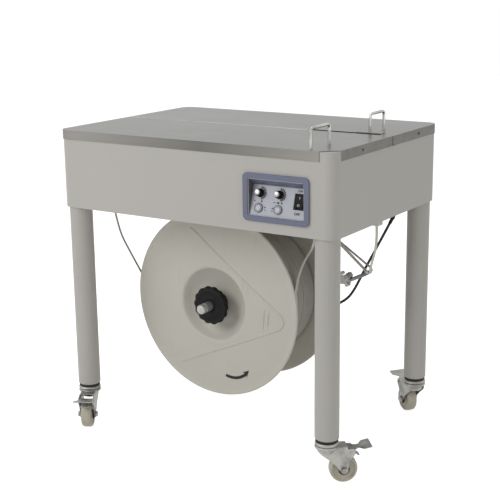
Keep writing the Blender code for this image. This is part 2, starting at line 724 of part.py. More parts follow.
def make_knob(name, x):
    profile = [
        (0.0, KNOB_HEIGHT), (KNOB_TIP_RADIUS - 0.001, KNOB_HEIGHT), (KNOB_TIP_RADIUS, KNOB_HEIGHT - 0.001),
        (KNOB_RADIUS - 0.001, 0.0040), (KNOB_RADIUS, 0.0030), (KNOB_RADIUS, FIT),
        (KNOB_SHAFT_RADIUS, FIT), (KNOB_SHAFT_RADIUS, -0.0070), (0.0, -0.0070),
    ]
    knob = turned(name, profile, steps=20)
    pointer = box("pointer", (-0.0007, 0.0040, KNOB_HEIGHT - 0.004),
                  (0.0007, KNOB_TIP_RADIUS + 0.0008, KNOB_HEIGHT - 0.0005))
    return finish(move(join(knob, pointer), (x, KNOB_V, 0.0)), BLACK_PLASTIC, panel_frame, (x, KNOB_V, 0.0))


def make_button(name, x):
    profile = [
        (0.0, BUTTON_PROUD), (BUTTON_RADIUS - 0.001, BUTTON_PROUD), (BUTTON_RADIUS, BUTTON_PROUD - 0.001),
        (BUTTON_RADIUS, -0.0120 + BUTTON_TRAVEL + FIT), (0.0, -0.0120 + BUTTON_TRAVEL + FIT),
    ]
    button = turned(name, profile, steps=28)
    return finish(move(button, (x, BUTTON_V, 0.0)), BUTTON_GREY, panel_frame, (x, BUTTON_V, 0.0))


def make_rocker():
    """A switch rocker: a shallow V across its pivot, on two small trunnions."""
    wide, tall = (size / 2 for size in ROCKER_SIZE)
    outline = [(-tall, 0.0045), (0.0, 0.0028), (tall, 0.0045),
               (tall - 0.0008, -0.004), (-tall + 0.0008, -0.004)]
    rocker = flat_plate("power_rocker", outline, 2 * wide, Matrix.Rotation(math.pi / 2, 4, "X"))
    rocker.data.transform(Matrix.Rotation(math.pi / 2, 4, "Z"))
    trunnion = rod("trunnion", (-wide - 0.002, 0.0, -0.001), (wide + 0.002, 0.0, -0.001), 0.0015, 12)
    pivot = Vector((ROCKER_X, ROCKER_V, -0.001))
    rocker = join(rocker, trunnion)
    rocker.data.transform(Matrix.Translation(pivot) @ Matrix.Rotation(math.radians(-ROCKER_TILT), 4, "X")
                          @ Matrix.Translation((0.0, 0.0, 0.001)))
    return finish(rocker, BLACK_PLASTIC, panel_frame, pivot)


# ---------------------------------------------------------------- reel
reel_frame = empty("reel_frame", (REEL_X, 0.0, REEL_Z), machine)


def flange_profile():
    """Half section of a flange with its half of the core: (radius, depth inwards)."""
    sheet = FLANGE_SHEET
    hub = CORE_RADIUS - sheet
    forward = -0.008
    slope = Vector((RECESS_BOTTOM_RADIUS - hub, RECESS_DEPTH - forward)).normalized()
    inward = Vector((slope.y, slope.x * -1.0)) * sheet
    shift = inward.y + (hub - (hub + inward.x)) * slope.y / slope.x
    tip = REEL_WIDTH / 2 - FIT
    return [
        (FLANGE_RADIUS, -0.0015), (FLANGE_RADIUS - 0.006, -0.0015), (FLANGE_RADIUS - 0.008, 0.0),
        (hub + 0.010, forward), (hub, forward), (RECESS_BOTTOM_RADIUS, RECESS_DEPTH),
        (SPINDLE_RADIUS + FIT, RECESS_DEPTH), (SPINDLE_RADIUS + FIT, RECESS_DEPTH + sheet),
        (RECESS_BOTTOM_RADIUS + sheet * 0.6, RECESS_DEPTH + sheet), (hub, forward + shift),
        (hub, tip), (CORE_RADIUS, tip), (CORE_RADIUS, forward + sheet), (hub + 0.010, forward + sheet),
        (FLANGE_RADIUS - 0.008, sheet), (FLANGE_RADIUS - 0.006, sheet + 0.0015),
        (FLANGE_RADIUS, sheet + 0.0015),
    ]


def make_flange(name, face_y, inwards):
    profile = [(radius, face_y + inwards * depth) for radius, depth in flange_profile()]
    flange = turned(name, profile, Y_AXIS_TURN, steps=48, ring=True)
    return finish(flange, FLANGE_PLASTIC, reel_frame)


def make_strap_coil():
    side = 0.0062
    low, high = REEL_FRONT_Y + side, REEL_BACK_Y - side
    inner = CORE_RADIUS + RUNNING_FIT
    coil = turned("strap_coil", [(inner, high), (COIL_RADIUS, high), (COIL_RADIUS, low), (inner, low)],
                  Y_AXIS_TURN, steps=48, ring=True)
    return finish(coil, STRAP_PLASTIC, reel_frame)


def make_spindle():
    """The tube that carries the flanges, with the plate that backs the rear one."""
    bore = AXLE_SHAFT_RADIUS + RUNNING_FIT
    rear_seat = REEL_BACK_Y - RECESS_DEPTH + FIT
    profile = [
        (bore, BRACKET_FRONT_Y - 0.010), (SPINDLE_RADIUS, BRACKET_FRONT_Y - 0.010),
        (SPINDLE_RADIUS, rear_seat + 0.008), (0.050, rear_seat + 0.008), (0.050, rear_seat),
        (SPINDLE_RADIUS, rear_seat), (SPINDLE_RADIUS, REEL_FRONT_Y), (bore, REEL_FRONT_Y),
    ]
    return finish(turned("reel_spindle", profile, Y_AXIS_TURN, ring=True), ZINC, reel_frame)


def make_reel_axle():
    """The fixed shaft, with a collar before its bracket and a nut behind it."""
    radius = AXLE_SHAFT_RADIUS
    collar = BRACKET_FRONT_Y - 0.010 + RUNNING_FIT
    profile = [
        (0.0, AXLE_REAR_Y), (radius - 0.002, AXLE_REAR_Y), (radius, AXLE_REAR_Y - 0.002),
        (radius, BRACKET_BACK_Y + 0.012), (0.020, BRACKET_BACK_Y + 0.012), (0.020, BRACKET_BACK_Y + FIT),
        (radius, BRACKET_BACK_Y + FIT), (radius, BRACKET_FRONT_Y - FIT), (0.018, BRACKET_FRONT_Y - FIT),
        (0.018, collar), (radius, collar), (radius, AXLE_FRONT_Y + 0.006),
        (radius - 0.002, AXLE_FRONT_Y + 0.002), (radius - 0.006, AXLE_FRONT_Y), (0.0, AXLE_FRONT_Y),
    ]
    axle = turned("reel_axle", profile, Y_AXIS_TURN)
    return finish(move(axle, (REEL_X, 0.0, REEL_Z)), ZINC, machine)


def make_reel_bracket():
    """The hanger plate behind the reel, with a foot bolted under the base plate."""
    half = BRACKET_WIDTH / 2
    low = REEL_Z - 0.032
    plate = box("reel_bracket", (REEL_X - half, BRACKET_FRONT_Y, low),
                (REEL_X + half, BRACKET_BACK_Y, UNDER_BASE))
    foot = box("foot", (REEL_X - half - 0.02, BRACKET_FRONT_Y, UNDER_BASE - 0.004),
               (REEL_X + half + 0.02, BRACKET_BACK_Y + 0.040, UNDER_BASE))
    hole = rod("hole", (REEL_X, BRACKET_FRONT_Y - 0.01, REEL_Z), (REEL_X, BRACKET_BACK_Y + 0.01, REEL_Z),
               AXLE_SHAFT_RADIUS + FIT)
    return finish(cut(join(plate, foot), hole), PAINT, machine)


def make_lock_nut():
    """A hand nut with a scalloped rim, and a nose that clamps the front flange."""
    count = NUT_LOBES * 6
    outline = []
    for i in range(count):
        angle = 2 * math.pi * i / count
        reach = NUT_RADIUS + NUT_LOBE * math.cos(NUT_LOBES * angle)
        outline.append((reach * math.cos(angle), reach * math.sin(angle)))
    head = flat_plate("lock_nut", outline, NUT_HEAD, Matrix.Rotation(math.pi / 2, 4, "X"))
    move(head, (0.0, NUT_FRONT_Y + NUT_HEAD / 2, 0.0))
    seat = REEL_FRONT_Y + RECESS_DEPTH - FIT
    nose = rod("nose", (0.0, NUT_FRONT_Y + NUT_HEAD - 0.002, 0.0), (0.0, seat, 0.0), 0.034)
    thread = rod("thread", (0.0, REEL_FRONT_Y - 2 * FIT, 0.0), (0.0, seat + 0.01, 0.0), SPINDLE_RADIUS + FIT)
    bore = rod("bore", (0.0, NUT_FRONT_Y - 0.01, 0.0), (0.0, seat + 0.01, 0.0),
               AXLE_SHAFT_RADIUS + RUNNING_FIT)
    return finish(cut(join(head, nose), thread, bore), BLACK_PLASTIC, reel_frame)


# ---------------------------------------------------------------- brake arm
arm_frame = empty("arm_frame", (ARM_PIN[0], 0.0, ARM_PIN[1]), machine)


def make_arm_bracket():
    """A hanger under the base plate, with the pin for the guide roller and the brake arm."""
    x, z = ARM_PIN
    top = UNDER_BASE
    bracket = box("arm_bracket", (x - 0.016, -0.022, top - 0.003), (x + 0.016, 0.022, top))
    ears = [box("ear", (x - 0.009, y, z - 0.009), (x + 0.009, y + 0.003, top - 0.001))
            for y in (-0.020, 0.017)]
    pin = rod("pin", (x, -0.0215, z), (x, 0.0215, z), ARM_PIN_RADIUS, 20)
    return finish(join(bracket, *ears, pin), ZINC, machine)


def make_guide_roller():
    half = STRAP_WIDTH / 2 + 0.0015
    lip = 0.0022
    radius = GUIDE_ROLLER_RADIUS
    bore = ARM_PIN_RADIUS + RUNNING_FIT
    profile = [(bore, half + lip), (radius + lip, half + lip), (radius + lip, half), (radius, half),
               (radius, -half), (radius + lip, -half), (radius + lip, -half - lip), (bore, -half - lip)]
    roller = turned("guide_roller", profile, Y_AXIS_TURN, steps=24, ring=True)
    return finish(move(roller, (0.0, STRAP_Y, 0.0)), NYLON, arm_frame)


def radial_box(name, inner, outer, angle, along, low_y, high_y):
    """A block on a ray from the reel's centre, as long as given across the ray."""
    block = box(name, (inner, low_y, -along / 2), (outer, high_y, along / 2))
    turn = Matrix.Translation((REEL_X, 0.0, REEL_Z)) @ Matrix.Rotation(-angle, 4, "Y")
    block.data.transform(turn)
    return block


def make_brake_arm():
    """A wire bent back on itself, its strap pin and knuckle, and the shaft to the shoe."""
    y = ARM_PLANE_Y
    pin, bend, knuckle_at = Vector(ARM_PIN), Vector(ARM_BEND), Vector(ARM_KNUCKLE)
    down = math.degrees(math.atan2(pin.y - bend.y, pin.x - bend.x)) - 90.0
    back = math.degrees(math.atan2(knuckle_at.y - bend.y, knuckle_at.x - bend.x)) + 90.0
    turn = arc(ARM_BEND, ARM_BEND_RADIUS, down, back, 10)
    route = [ARM_PIN] + turn + [ARM_KNUCKLE]
    arm = settle(wire("brake_arm", [(x, y, z) for x, z in route], ARM_ROD_RADIUS, 2))
    hub = rod("hub", (pin.x, y - 0.0045, pin.y), (pin.x, y + 0.0045, pin.y), 0.0075, 20)
    disc = rod("disc", (0.2632, y - 0.008, 0.4030), (0.2632, y + 0.004, 0.4030), 0.0070, 18)
    nut = rod("nut", (0.2600, y - 0.007, 0.3815), (0.2600, y + 0.005, 0.3815), 0.0055, 6)
    block = flat_plate("block", [(0.2580, 0.3810), (0.2650, 0.3790), (0.2700, 0.3950), (0.2680, 0.4040),
                                 (0.2590, 0.4050), (0.1990, 0.3880), (0.2000, 0.3790)],
                       0.004, Matrix.Translation((0.0, y, 0.0)) @ Matrix.Rotation(math.pi / 2, 4, "X"))
    shaft = rod("shaft", (CROSS_SHAFT[0], y - 0.005, CROSS_SHAFT[1]),
                (CROSS_SHAFT[0], SHOE_Y + 0.006, CROSS_SHAFT[1]), CROSS_SHAFT_RADIUS, 16)
    low_y, high_y = SHOE_Y - SHOE_WIDTH / 2, SHOE_Y + SHOE_WIDTH / 2
    reach = math.hypot(CROSS_SHAFT[0] - REEL_X, CROSS_SHAFT[1] - REEL_Z)
    backing = FLANGE_RADIUS + RUNNING_FIT + SHOE_THICKNESS + FIT
    link = radial_box("link", backing + 0.001, reach, SHOE_ANGLE, 0.007, SHOE_Y - 0.005, SHOE_Y + 0.005)
    plate = radial_box("plate", backing, backing + 0.003, SHOE_ANGLE, SHOE_LENGTH, low_y, high_y)
    strap_pin = rod("strap_pin", (TENSION_PIN[0], y + 0.0013, TENSION_PIN[1]),
                    (TENSION_PIN[0], STRAP_Y - STRAP_WIDTH / 2 - 0.003, TENSION_PIN[1]),
                    TENSION_PIN_RADIUS, 14)
    arm = join(arm, hub, disc, nut, block, shaft, link, plate, strap_pin)
    bore = rod("bore", (pin.x, y - 0.01, pin.y), (pin.x, y + 0.01, pin.y), ARM_PIN_RADIUS + RUNNING_FIT, 20)
    arm = cut(arm, bore)
    move(arm, (-pin.x, 0.0, -pin.y))
    return finish(arm, ZINC, arm_frame)


def make_brake_shoe():
    rim = FLANGE_RADIUS + RUNNING_FIT
    low_y, high_y = SHOE_Y - SHOE_WIDTH / 2, SHOE_Y + SHOE_WIDTH / 2
    shoe = radial_box("brake_shoe", rim - 0.003, rim + SHOE_THICKNESS, SHOE_ANGLE, SHOE_LENGTH, low_y, high_y)
    reel = rod("reel", (REEL_X, low_y - 0.01, REEL_Z), (REEL_X, high_y + 0.01, REEL_Z), rim, 128)
    shoe = cut(shoe, reel)
    move(shoe, (-ARM_PIN[0], 0.0, -ARM_PIN[1]))
    return finish(shoe, RUBBER, arm_frame)


# ---------------------------------------------------------------- strap
def polar(centre, radius, degrees):
    angle = math.radians(degrees)
    return (centre[0] + radius * math.cos(angle), centre[1] + radius * math.sin(angle))


def band_route(points, per_span=4):
    return [(point.x, point.z) for point in smooth_path([(x, 0.0, z) for x, z in points], per_span)]


def make_strap_reel_run():
    """From the top layer of the coil up to the guide roller and over it."""
    centre = (REEL_X, REEL_Z)
    wrap = GUIDE_ROLLER_RADIUS + STRAP_LIFT
    leave = [polar(centre, COIL_RADIUS + STRAP_LIFT, angle) for angle in (-4.0, 2.0, 8.0)]
    free = [(0.1385, 0.392), (0.1545, 0.4290), (0.1740, 0.4620)]
    over = [polar(ARM_PIN, wrap, angle) for angle in (168.0, 143.0, 117.0, 92.0)]
    route = band_route(leave + free + over, 2)
    return finish(ribbon("strap_reel_run", route, STRAP_WIDTH, STRAP_Y, STRAP_SHEET), STRAP_PLASTIC, machine)


def make_strap_dancer_run():
    """From the guide roller down to the brake arm's pin, and up into the inlet."""
    wrap = GUIDE_ROLLER_RADIUS + STRAP_LIFT
    over = [polar(ARM_PIN, wrap, angle) for angle in (89.0, 72.0, 56.0)]
    loop = [polar(TENSION_PIN, TENSION_PIN_RADIUS + STRAP_LIFT, angle)
            for angle in (228.0, 262.0, 296.0, 325.0, 345.0)]
    rise = [(0.3275, 0.4400), (0.3345, 0.4650), (0.3385, 0.4870), (0.3400, 0.5123),
            (INLET_X, BODY_BOTTOM - 0.012), (INLET_X, FEED_ROLLER_Z)]
    route = band_route(over, 2) + band_route(loop + rise, 2)
    band = ribbon("strap_dancer_run", route, STRAP_WIDTH, STRAP_Y, STRAP_SHEET)
    return finish(band, STRAP_PLASTIC, machine)


def make_strap_left_run():
    """The slack length at the reel's left, from the base plate to the coil."""
    centre = (REEL_X, REEL_Z)
    arrive = [polar(centre, COIL_RADIUS + STRAP_LIFT, angle) for angle in (214.0, 221.0, 228.0)]
    free = [LEFT_STRAP_TOP, (-0.3525, 0.530), (-0.347, 0.500), (-0.331, 0.451), (-0.307, 0.412),
            (-0.281, 0.374), (-0.230, 0.2985)]
    route = band_route(free + arrive, 3)
    band = ribbon("strap_left_run", route, STRAP_WIDTH, LEFT_STRAP_Y, STRAP_SHEET)
    return finish(band, STRAP_PLASTIC, machine)


# ---------------------------------------------------------------- drive and strapping head
def make_strapping_head():
    """The cast block under the slot, on two posts that carry the cam shaft."""
    left, right = HEAD_X
    y0, y1 = SHAFT_Y - 0.030, SHAFT_Y + 0.030
    block = box("strapping_head", (left, y0, HEAD_BOTTOM), (right, y1, HEAD_TOP))
    posts = [box("post", (x, y0, ON_BASE), (x + 0.012, y1, HEAD_BOTTOM + 0.002))
             for x in (left, right - 0.012)]
    head = join(block, *posts)
    slot_mid = SEAM_Y + SLOT_WIDTH / 2
    channel = box("channel", (left - 0.01, slot_mid - 0.007, HEAD_TOP - 0.012),
                  (right + 0.01, slot_mid + 0.007, HEAD_TOP + 0.01))
    middle = (left + right) / 2
    wide = PRESS_SIZE[0] / 2 + RUNNING_FIT
    deep = PRESS_SIZE[1] / 2 + RUNNING_FIT
    pocket = box("pocket", (middle - wide, slot_mid - deep, HEAD_BOTTOM - 0.01),
                 (middle + wide, slot_mid + deep, HEAD_TOP + 0.01))
    bearing = rod("bearing", (left - 0.01, SHAFT_Y, SHAFT_Z), (right + 0.01, SHAFT_Y, SHAFT_Z),
                  CAM_SHAFT_RADIUS + RUNNING_FIT)
    return finish(cut(head, channel, pocket, bearing), CAST_METAL, machine)


def make_press_block():
    middle = sum(HEAD_X) / 2
    slot_mid = SEAM_Y + SLOT_WIDTH / 2
    low = (middle - PRESS_SIZE[0] / 2, slot_mid - PRESS_SIZE[1] / 2, PRESS_TOP - PRESS_SIZE[2])
    high = (middle + PRESS_SIZE[0] / 2, slot_mid + PRESS_SIZE[1] / 2, PRESS_TOP)
    return finish(box("press_block", low, high), ZINC, machine)


def make_anvil_slide():
    """The plate that the strap's ends are pressed against, under the slot."""
    middle = sum(HEAD_X) / 2
    low = (middle - 0.030, SHAFT_Y - 0.026, HEAD_TOP + RUNNING_FIT)
    high = (middle + 0.030, SHAFT_Y + 0.026, HEAD_TOP + RUNNING_FIT + 0.004)
    return finish(box("anvil_slide", low, high), ZINC, machine)


def make_cam_shaft():
    """The shaft that works the head, with three cams set at thirds of a turn."""
    left, right = HEAD_X
    shaft = rod("cam_shaft", (GEARBOX_X[1] - 0.010, SHAFT_Y, SHAFT_Z), (right + 0.006, SHAFT_Y, SHAFT_Z),
                CAM_SHAFT_RADIUS, 24)
    cams = []
    for index in range(3):
        x = left + 0.034 + index * 0.034
        angle = 2 * math.pi * index / 3
        y, z = SHAFT_Y + 0.006 * math.cos(angle), SHAFT_Z + 0.006 * math.sin(angle)
        cams.append(rod("cam", (x, y, z), (x + 0.009, y, z), 0.021, 20))
    return finish(join(shaft, *cams), ZINC, machine, (0.0, SHAFT_Y, SHAFT_Z))


def make_gearbox():
    low = (GEARBOX_X[0], SHAFT_Y - 0.036, ON_BASE + 0.020)
    high = (GEARBOX_X[1], SHAFT_Y + 0.036, SHAFT_Z + 0.036)
    case = box("gearbox", low, high)
    foot = box("foot", (GEARBOX_X[0] - 0.010, SHAFT_Y - 0.044, ON_BASE),
               (GEARBOX_X[1] + 0.006, SHAFT_Y + 0.044, ON_BASE + 0.021))
    bore = rod("bore", (GEARBOX_X[1] - 0.010 - RUNNING_FIT, SHAFT_Y, SHAFT_Z),
               (GEARBOX_X[1] + 0.02, SHAFT_Y, SHAFT_Z),
               CAM_SHAFT_RADIUS + RUNNING_FIT, 24)
    return finish(cut(join(case, foot), bore), CAST_METAL, machine)


def make_drive_motor():
    """A flange motor along X, against the gearbox and on its own foot."""
    right = GEARBOX_X[0] - FIT
    left = right - MOTOR_LENGTH
    profile = [
        (0.0, left), (MOTOR_RADIUS - 0.008, left), (MOTOR_RADIUS - 0.002, left + 0.006),
        (MOTOR_RADIUS - 0.002, left + 0.024),
        (MOTOR_RADIUS, left + 0.024), (MOTOR_RADIUS, right - 0.010), (MOTOR_RADIUS - 0.006, right - 0.010),
        (MOTOR_RADIUS - 0.006, right), (0.0, right),
    ]
    motor = turned("drive_motor", profile, X_AXIS_TURN)
    move(motor, (0.0, SHAFT_Y, SHAFT_Z))
    foot = box("foot", (left + 0.040, SHAFT_Y - 0.030, ON_BASE),
               (right - 0.030, SHAFT_Y + 0.030, SHAFT_Z - MOTOR_RADIUS + 0.010))
    return finish(join(motor, foot), CAST_METAL, machine)


def make_feed_bracket():
    """The strap's way in: a funnel below the base plate and two ears for the feed roller above."""
    y_mid = STRAP_Y
    half = STRAP_WIDTH / 2 + 0.0045
    ear = 0.003
    roller_x = INLET_X + FEED_ROLLER_RADIUS + STRAP_LIFT
    funnel = box("feed_bracket", (INLET_X - 0.0095, y_mid - half, BODY_BOTTOM - 0.017),
                 (INLET_X + 0.0095, y_mid + half, ON_BASE + 0.003))
    foot = box("foot", (INLET_X - 0.020, y_mid - half - 0.012, ON_BASE),
               (INLET_X + 0.0215, y_mid + half + 0.012, ON_BASE + 0.003))
    ears = [box("ear", (roller_x - 0.009, y, ON_BASE + 0.001),
                (roller_x + 0.009, y + ear, FEED_ROLLER_Z + 0.009))
            for y in (y_mid - half - 0.004, y_mid + half + 0.001)]
    body = join(funnel, foot, *ears)
    slit = box("slit", (INLET_X - 0.0035, y_mid - STRAP_WIDTH / 2 - 0.0012, BODY_BOTTOM - 0.03),
               (INLET_X + 0.0035, y_mid + STRAP_WIDTH / 2 + 0.0012, ON_BASE + 0.02))
    bore = rod("bore", (roller_x, y_mid - 0.03, FEED_ROLLER_Z), (roller_x, y_mid + 0.03, FEED_ROLLER_Z),
               0.0030 + RUNNING_FIT, 20)
    return finish(cut(body, slit, bore), ZINC, machine)


def make_feed_roller():
    half = STRAP_WIDTH / 2 + 0.004
    end = half + 0.007
    roller_x = INLET_X + FEED_ROLLER_RADIUS + STRAP_LIFT
    profile = [(0.0, end), (0.0030, end), (0.0030, half), (FEED_ROLLER_RADIUS, half),
               (FEED_ROLLER_RADIUS, -half),
               (0.0030, -half), (0.0030, -end), (0.0, -end)]
    roller = turned("feed_roller", profile, Y_AXIS_TURN, steps=24)
    place = (roller_x, STRAP_Y, FEED_ROLLER_Z)
    return finish(move(roller, place), RUBBER, machine, place)


def make_control_box():
    shell = rounded_block("control_box", (-0.300, -0.215, ON_BASE), (-0.120, -0.085, ON_BASE + 0.085),
                          0.004, 3)
    return finish(shell, CAST_METAL, machine)


# ---------------------------------------------------------------- power cord
CORD_ROUTE = [
    (0.312, 0.140, 0.5305), (0.3112, 0.140, 0.5248), (0.309, 0.140, 0.5189),
    (0.2683, 0.140, 0.4416), (0.2366, 0.140, 0.3819),
    (0.2223, 0.140, 0.3530), (0.2080, 0.140, 0.3270), (0.1935, 0.1405, 0.3075), (0.1735, 0.141, 0.2915),
    (0.138, 0.143, 0.2715), (0.100, 0.145, 0.2620), (0.062, 0.147, 0.267), (0.028, 0.149, 0.288),
    (0.002, 0.150, 0.3135), (-0.019, 0.150, 0.3300), (-0.041, 0.150, 0.3345), (-0.063, 0.151, 0.3230),
    (-0.082, 0.154, 0.295), (-0.097, 0.159, 0.257), (-0.109, 0.165, 0.212), (-0.118, 0.171, 0.162),
    (-0.1245, 0.178, 0.112), (-0.1285, 0.184, 0.068), (-0.1330, 0.191, 0.0305),
]


def make_cord_gland():
    """A threaded neck through the base plate and a tapered strain relief below it."""
    top = ON_BASE + 0.008
    bottom = UNDER_BASE - GLAND_LENGTH
    profile = [
        (0.0, top), (0.0125, top), (0.0125, ON_BASE), (GLAND_NECK, ON_BASE), (GLAND_NECK, UNDER_BASE),
        (0.0125, UNDER_BASE), (0.0125, UNDER_BASE - 0.008), (0.0095, UNDER_BASE - 0.011),
        (CORD_DIAMETER / 2 + 0.0016, bottom), (0.0, bottom),
    ]
    gland = turned("cord_gland", profile, steps=24)
    return finish(move(gland, (*CORD_EXIT, 0.0)), BLACK_PLASTIC, machine)


def make_power_cord():
    path = even_path(smooth_path(CORD_ROUTE, 8), 0.0165)
    cord = wire("power_cord", path, CORD_DIAMETER / 2, 2)
    return finish(settle(cord), RUBBER, machine)


def make_cord_coil():
    inner = COIL_TURN_RADIUS - CORD_COIL_THICKNESS / 2
    outer = COIL_TURN_RADIUS + CORD_COIL_THICKNESS / 2
    soft = 0.004
    floor = FIT
    top = CORD_COIL_HEIGHT
    profile = [(inner, top - soft), (inner + soft, top), (outer - soft, top), (outer, top - soft),
               (outer, floor + soft), (outer - soft, floor), (inner + soft, floor), (inner, floor + soft)]
    coil = turned("cord_coil", profile, steps=32, ring=True)
    return finish(move(coil, (*COIL_CENTRE, 0.0)), RUBBER, machine)


def make_mains_plug():
    """A moulded two-pin plug lying on top of the coil, in line with its last turn."""
    base = CORD_COIL_HEIGHT + FIT
    x = COIL_CENTRE[0]
    y = COIL_CENTRE[1] - COIL_TURN_RADIUS
    z = base + 0.0075
    body = rounded_block("mains_plug", (x + 0.008, y - 0.008, base), (x + 0.046, y + 0.008, base + 0.015),
                         0.004, 3)
    relief = rod("relief", (x + 0.010, y, z), (x - 0.012, y, z), 0.0065, 16, CORD_DIAMETER / 2 + 0.001)
    pins = [rod("pin", (x + 0.064, y + side * 0.0045, z), (x + 0.044, y + side * 0.0045, z), 0.0022, 12)
            for side in (-1, 1)]
    return finish(join(body, relief, *pins), BLACK_PLASTIC, machine)


# ---------------------------------------------------------------- assembly
CORD_PIECES = {"power_cord", "cord_coil", "mains_plug", "cord_gland"}


def centre_outline():
    """Shift the machine so that the middle of its outline stands over the origin."""
    bpy.context.view_layer.update()
    corners = [obj.matrix_world @ Vector(corner) for obj in parts.objects
               if obj.type == "MESH" and obj.name not in CORD_PIECES for corner in obj.bound_box]
    xs = [corner.x for corner in corners]
    ys = [corner.y for corner in corners]
    machine.location = (-(min(xs) + max(xs)) / 2, -(min(ys) + max(ys)) / 2, 0.0)
    bpy.context.view_layer.update()
    print("outline shift", tuple(round(value, 6) for value in machine.location))


make_body_shell()
make_base_plate()
make_front_top_plate()
make_rear_top_plate()
make_guide_loop("front_guide_loop", FRONT_LOOP_Y)
make_guide_loop("rear_guide_loop", REAR_LOOP_Y)
for corner_name in LEG_PLACES:
    make_leg(corner_name)
    make_caster(corner_name)
make_panel_bezel()
make_panel_plate()
make_knob("tension_knob", KNOB_X[0])
make_knob("feed_knob", KNOB_X[1])
make_button("reset_button", KNOB_X[0])
make_button("feed_button", KNOB_X[1])
make_rocker()
make_flange("front_flange", REEL_FRONT_Y, 1)
make_flange("rear_flange", REEL_BACK_Y, -1)
make_strap_coil()
make_spindle()
make_reel_axle()
make_reel_bracket()
make_lock_nut()
make_arm_bracket()
make_guide_roller()
make_brake_arm()
make_brake_shoe()
make_strap_reel_run()
make_strap_dancer_run()
make_strap_left_run()
make_strapping_head()
make_press_block()
make_anvil_slide()
make_cam_shaft()
make_gearbox()
make_drive_motor()
make_feed_bracket()
make_feed_roller()
make_control_box()
make_cord_gland()
make_power_cord()
make_cord_coil()
make_mains_plug()
centre_outline()
print("pieces", sum(1 for obj in parts.objects if obj.type in {"MESH", "CURVE"}))
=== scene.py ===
# %% [markdown]
# # A semi automatic strapping machine
#
# The packer stands in front of this table, lays a carton on its steel top, and feeds a plastic
# band round it. The band comes off the big reel under the table, and the mechanism in the
# cabinet pulls it tight, welds it and cuts it.
#
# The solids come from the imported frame. This lesson gives each one its finish, and makes again
# those that deserve a finer shape: the reel, the nut, the casters, the knobs, the band and the
# cord. Everything is drawn in the machine's own plan, in metres: x to the operator's right, y to
# the back, z up from the floor, with the middle of the cabinet over the origin.

import math

import bmesh
import bpy
from mathutils import Matrix, Vector
from mathutils.geometry import interpolate_bezier


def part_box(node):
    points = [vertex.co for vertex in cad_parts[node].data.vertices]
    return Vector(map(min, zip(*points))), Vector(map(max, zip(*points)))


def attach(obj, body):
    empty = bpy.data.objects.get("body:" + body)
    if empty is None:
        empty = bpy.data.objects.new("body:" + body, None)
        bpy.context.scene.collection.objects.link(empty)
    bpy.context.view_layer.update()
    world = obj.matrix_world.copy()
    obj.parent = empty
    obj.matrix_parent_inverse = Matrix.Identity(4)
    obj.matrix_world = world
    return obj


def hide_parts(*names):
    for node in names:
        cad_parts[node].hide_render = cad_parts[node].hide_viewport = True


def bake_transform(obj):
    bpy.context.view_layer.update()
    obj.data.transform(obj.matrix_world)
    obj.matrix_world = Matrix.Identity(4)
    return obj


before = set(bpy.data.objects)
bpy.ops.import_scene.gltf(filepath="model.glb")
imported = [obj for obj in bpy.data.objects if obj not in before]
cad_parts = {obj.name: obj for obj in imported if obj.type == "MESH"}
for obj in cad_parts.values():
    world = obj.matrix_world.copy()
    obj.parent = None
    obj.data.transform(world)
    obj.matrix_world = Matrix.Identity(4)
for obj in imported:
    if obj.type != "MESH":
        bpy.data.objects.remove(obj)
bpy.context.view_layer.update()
low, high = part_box("body_shell")
MIDDLE = Vector(((low.x + high.x) / 2, (low.y + high.y) / 2, 0.0))
print("middle of the cabinet", [round(v, 5) for v in MIDDLE])

# %% [markdown]
# ## The camera
#
# The view is a product view from the operator's right, a little above the table. A long lens
# keeps the legs nearly upright. The camera is placed by three turns, as a tripod head is: round
# the upright, then down, then a hair of roll.

# %% Camera
def tripod(place, azimuth, elevation, roll, lens):
    """A camera at a place, looking along +Y when its azimuth is 0."""
    data = bpy.data.cameras.new("studio_camera")
    data.lens = lens
    camera = bpy.data.objects.new("studio_camera", data)
    bpy.context.scene.collection.objects.link(camera)
    camera.matrix_world = (
        Matrix.Translation(Vector(place) + MIDDLE)
        @ Matrix.Rotation(math.radians(azimuth), 4, "Z")
        @ Matrix.Rotation(math.radians(90 - elevation), 4, "X")
        @ Matrix.Rotation(math.radians(roll), 4, "Z")
    )
    return camera


bpy.context.scene.camera = tripod(
    place=(1.4401, -2.2236, 1.0890), azimuth=32.975, elevation=13.9, roll=-0.709, lens=80.98)
print("camera", [round(v, 3) for v in bpy.context.scene.camera.location])

# %% [markdown]
# ## Helpers for drawing solids
#
# Most parts of a machine are turned, bent from rod, or cut from sheet. `polar` and `bow` give
# points on a circle, and `mirrored` makes an outline of its half. `add_turned` spins a half
# section, `add_tube` runs a round section along a path, and `add_slab` gives an outline its
# thickness, all into a bmesh. `skin` is the work that long pieces share: it joins one row of
# points to the next.

# %% Points for outlines
def polar(centre, radius, degrees):
    return (centre[0] + radius * math.cos(math.radians(degrees)),
            centre[1] + radius * math.sin(math.radians(degrees)))


def bow(centre, radius, start, end, steps):
    """Points along an arc, from one angle in degrees to another."""
    return [polar(centre, radius, start + (end - start) * k / steps) for k in range(steps + 1)]


def mirrored(half):
    """An outline from its half below the X axis. A point on the axis is kept once."""
    return half + [(x, -y) for x, y in reversed(half) if y]


print("an eighth and a quarter of a circle", [[round(v, 3) for v in p] for p in bow((0, 0), 1, 0, 90, 2)])

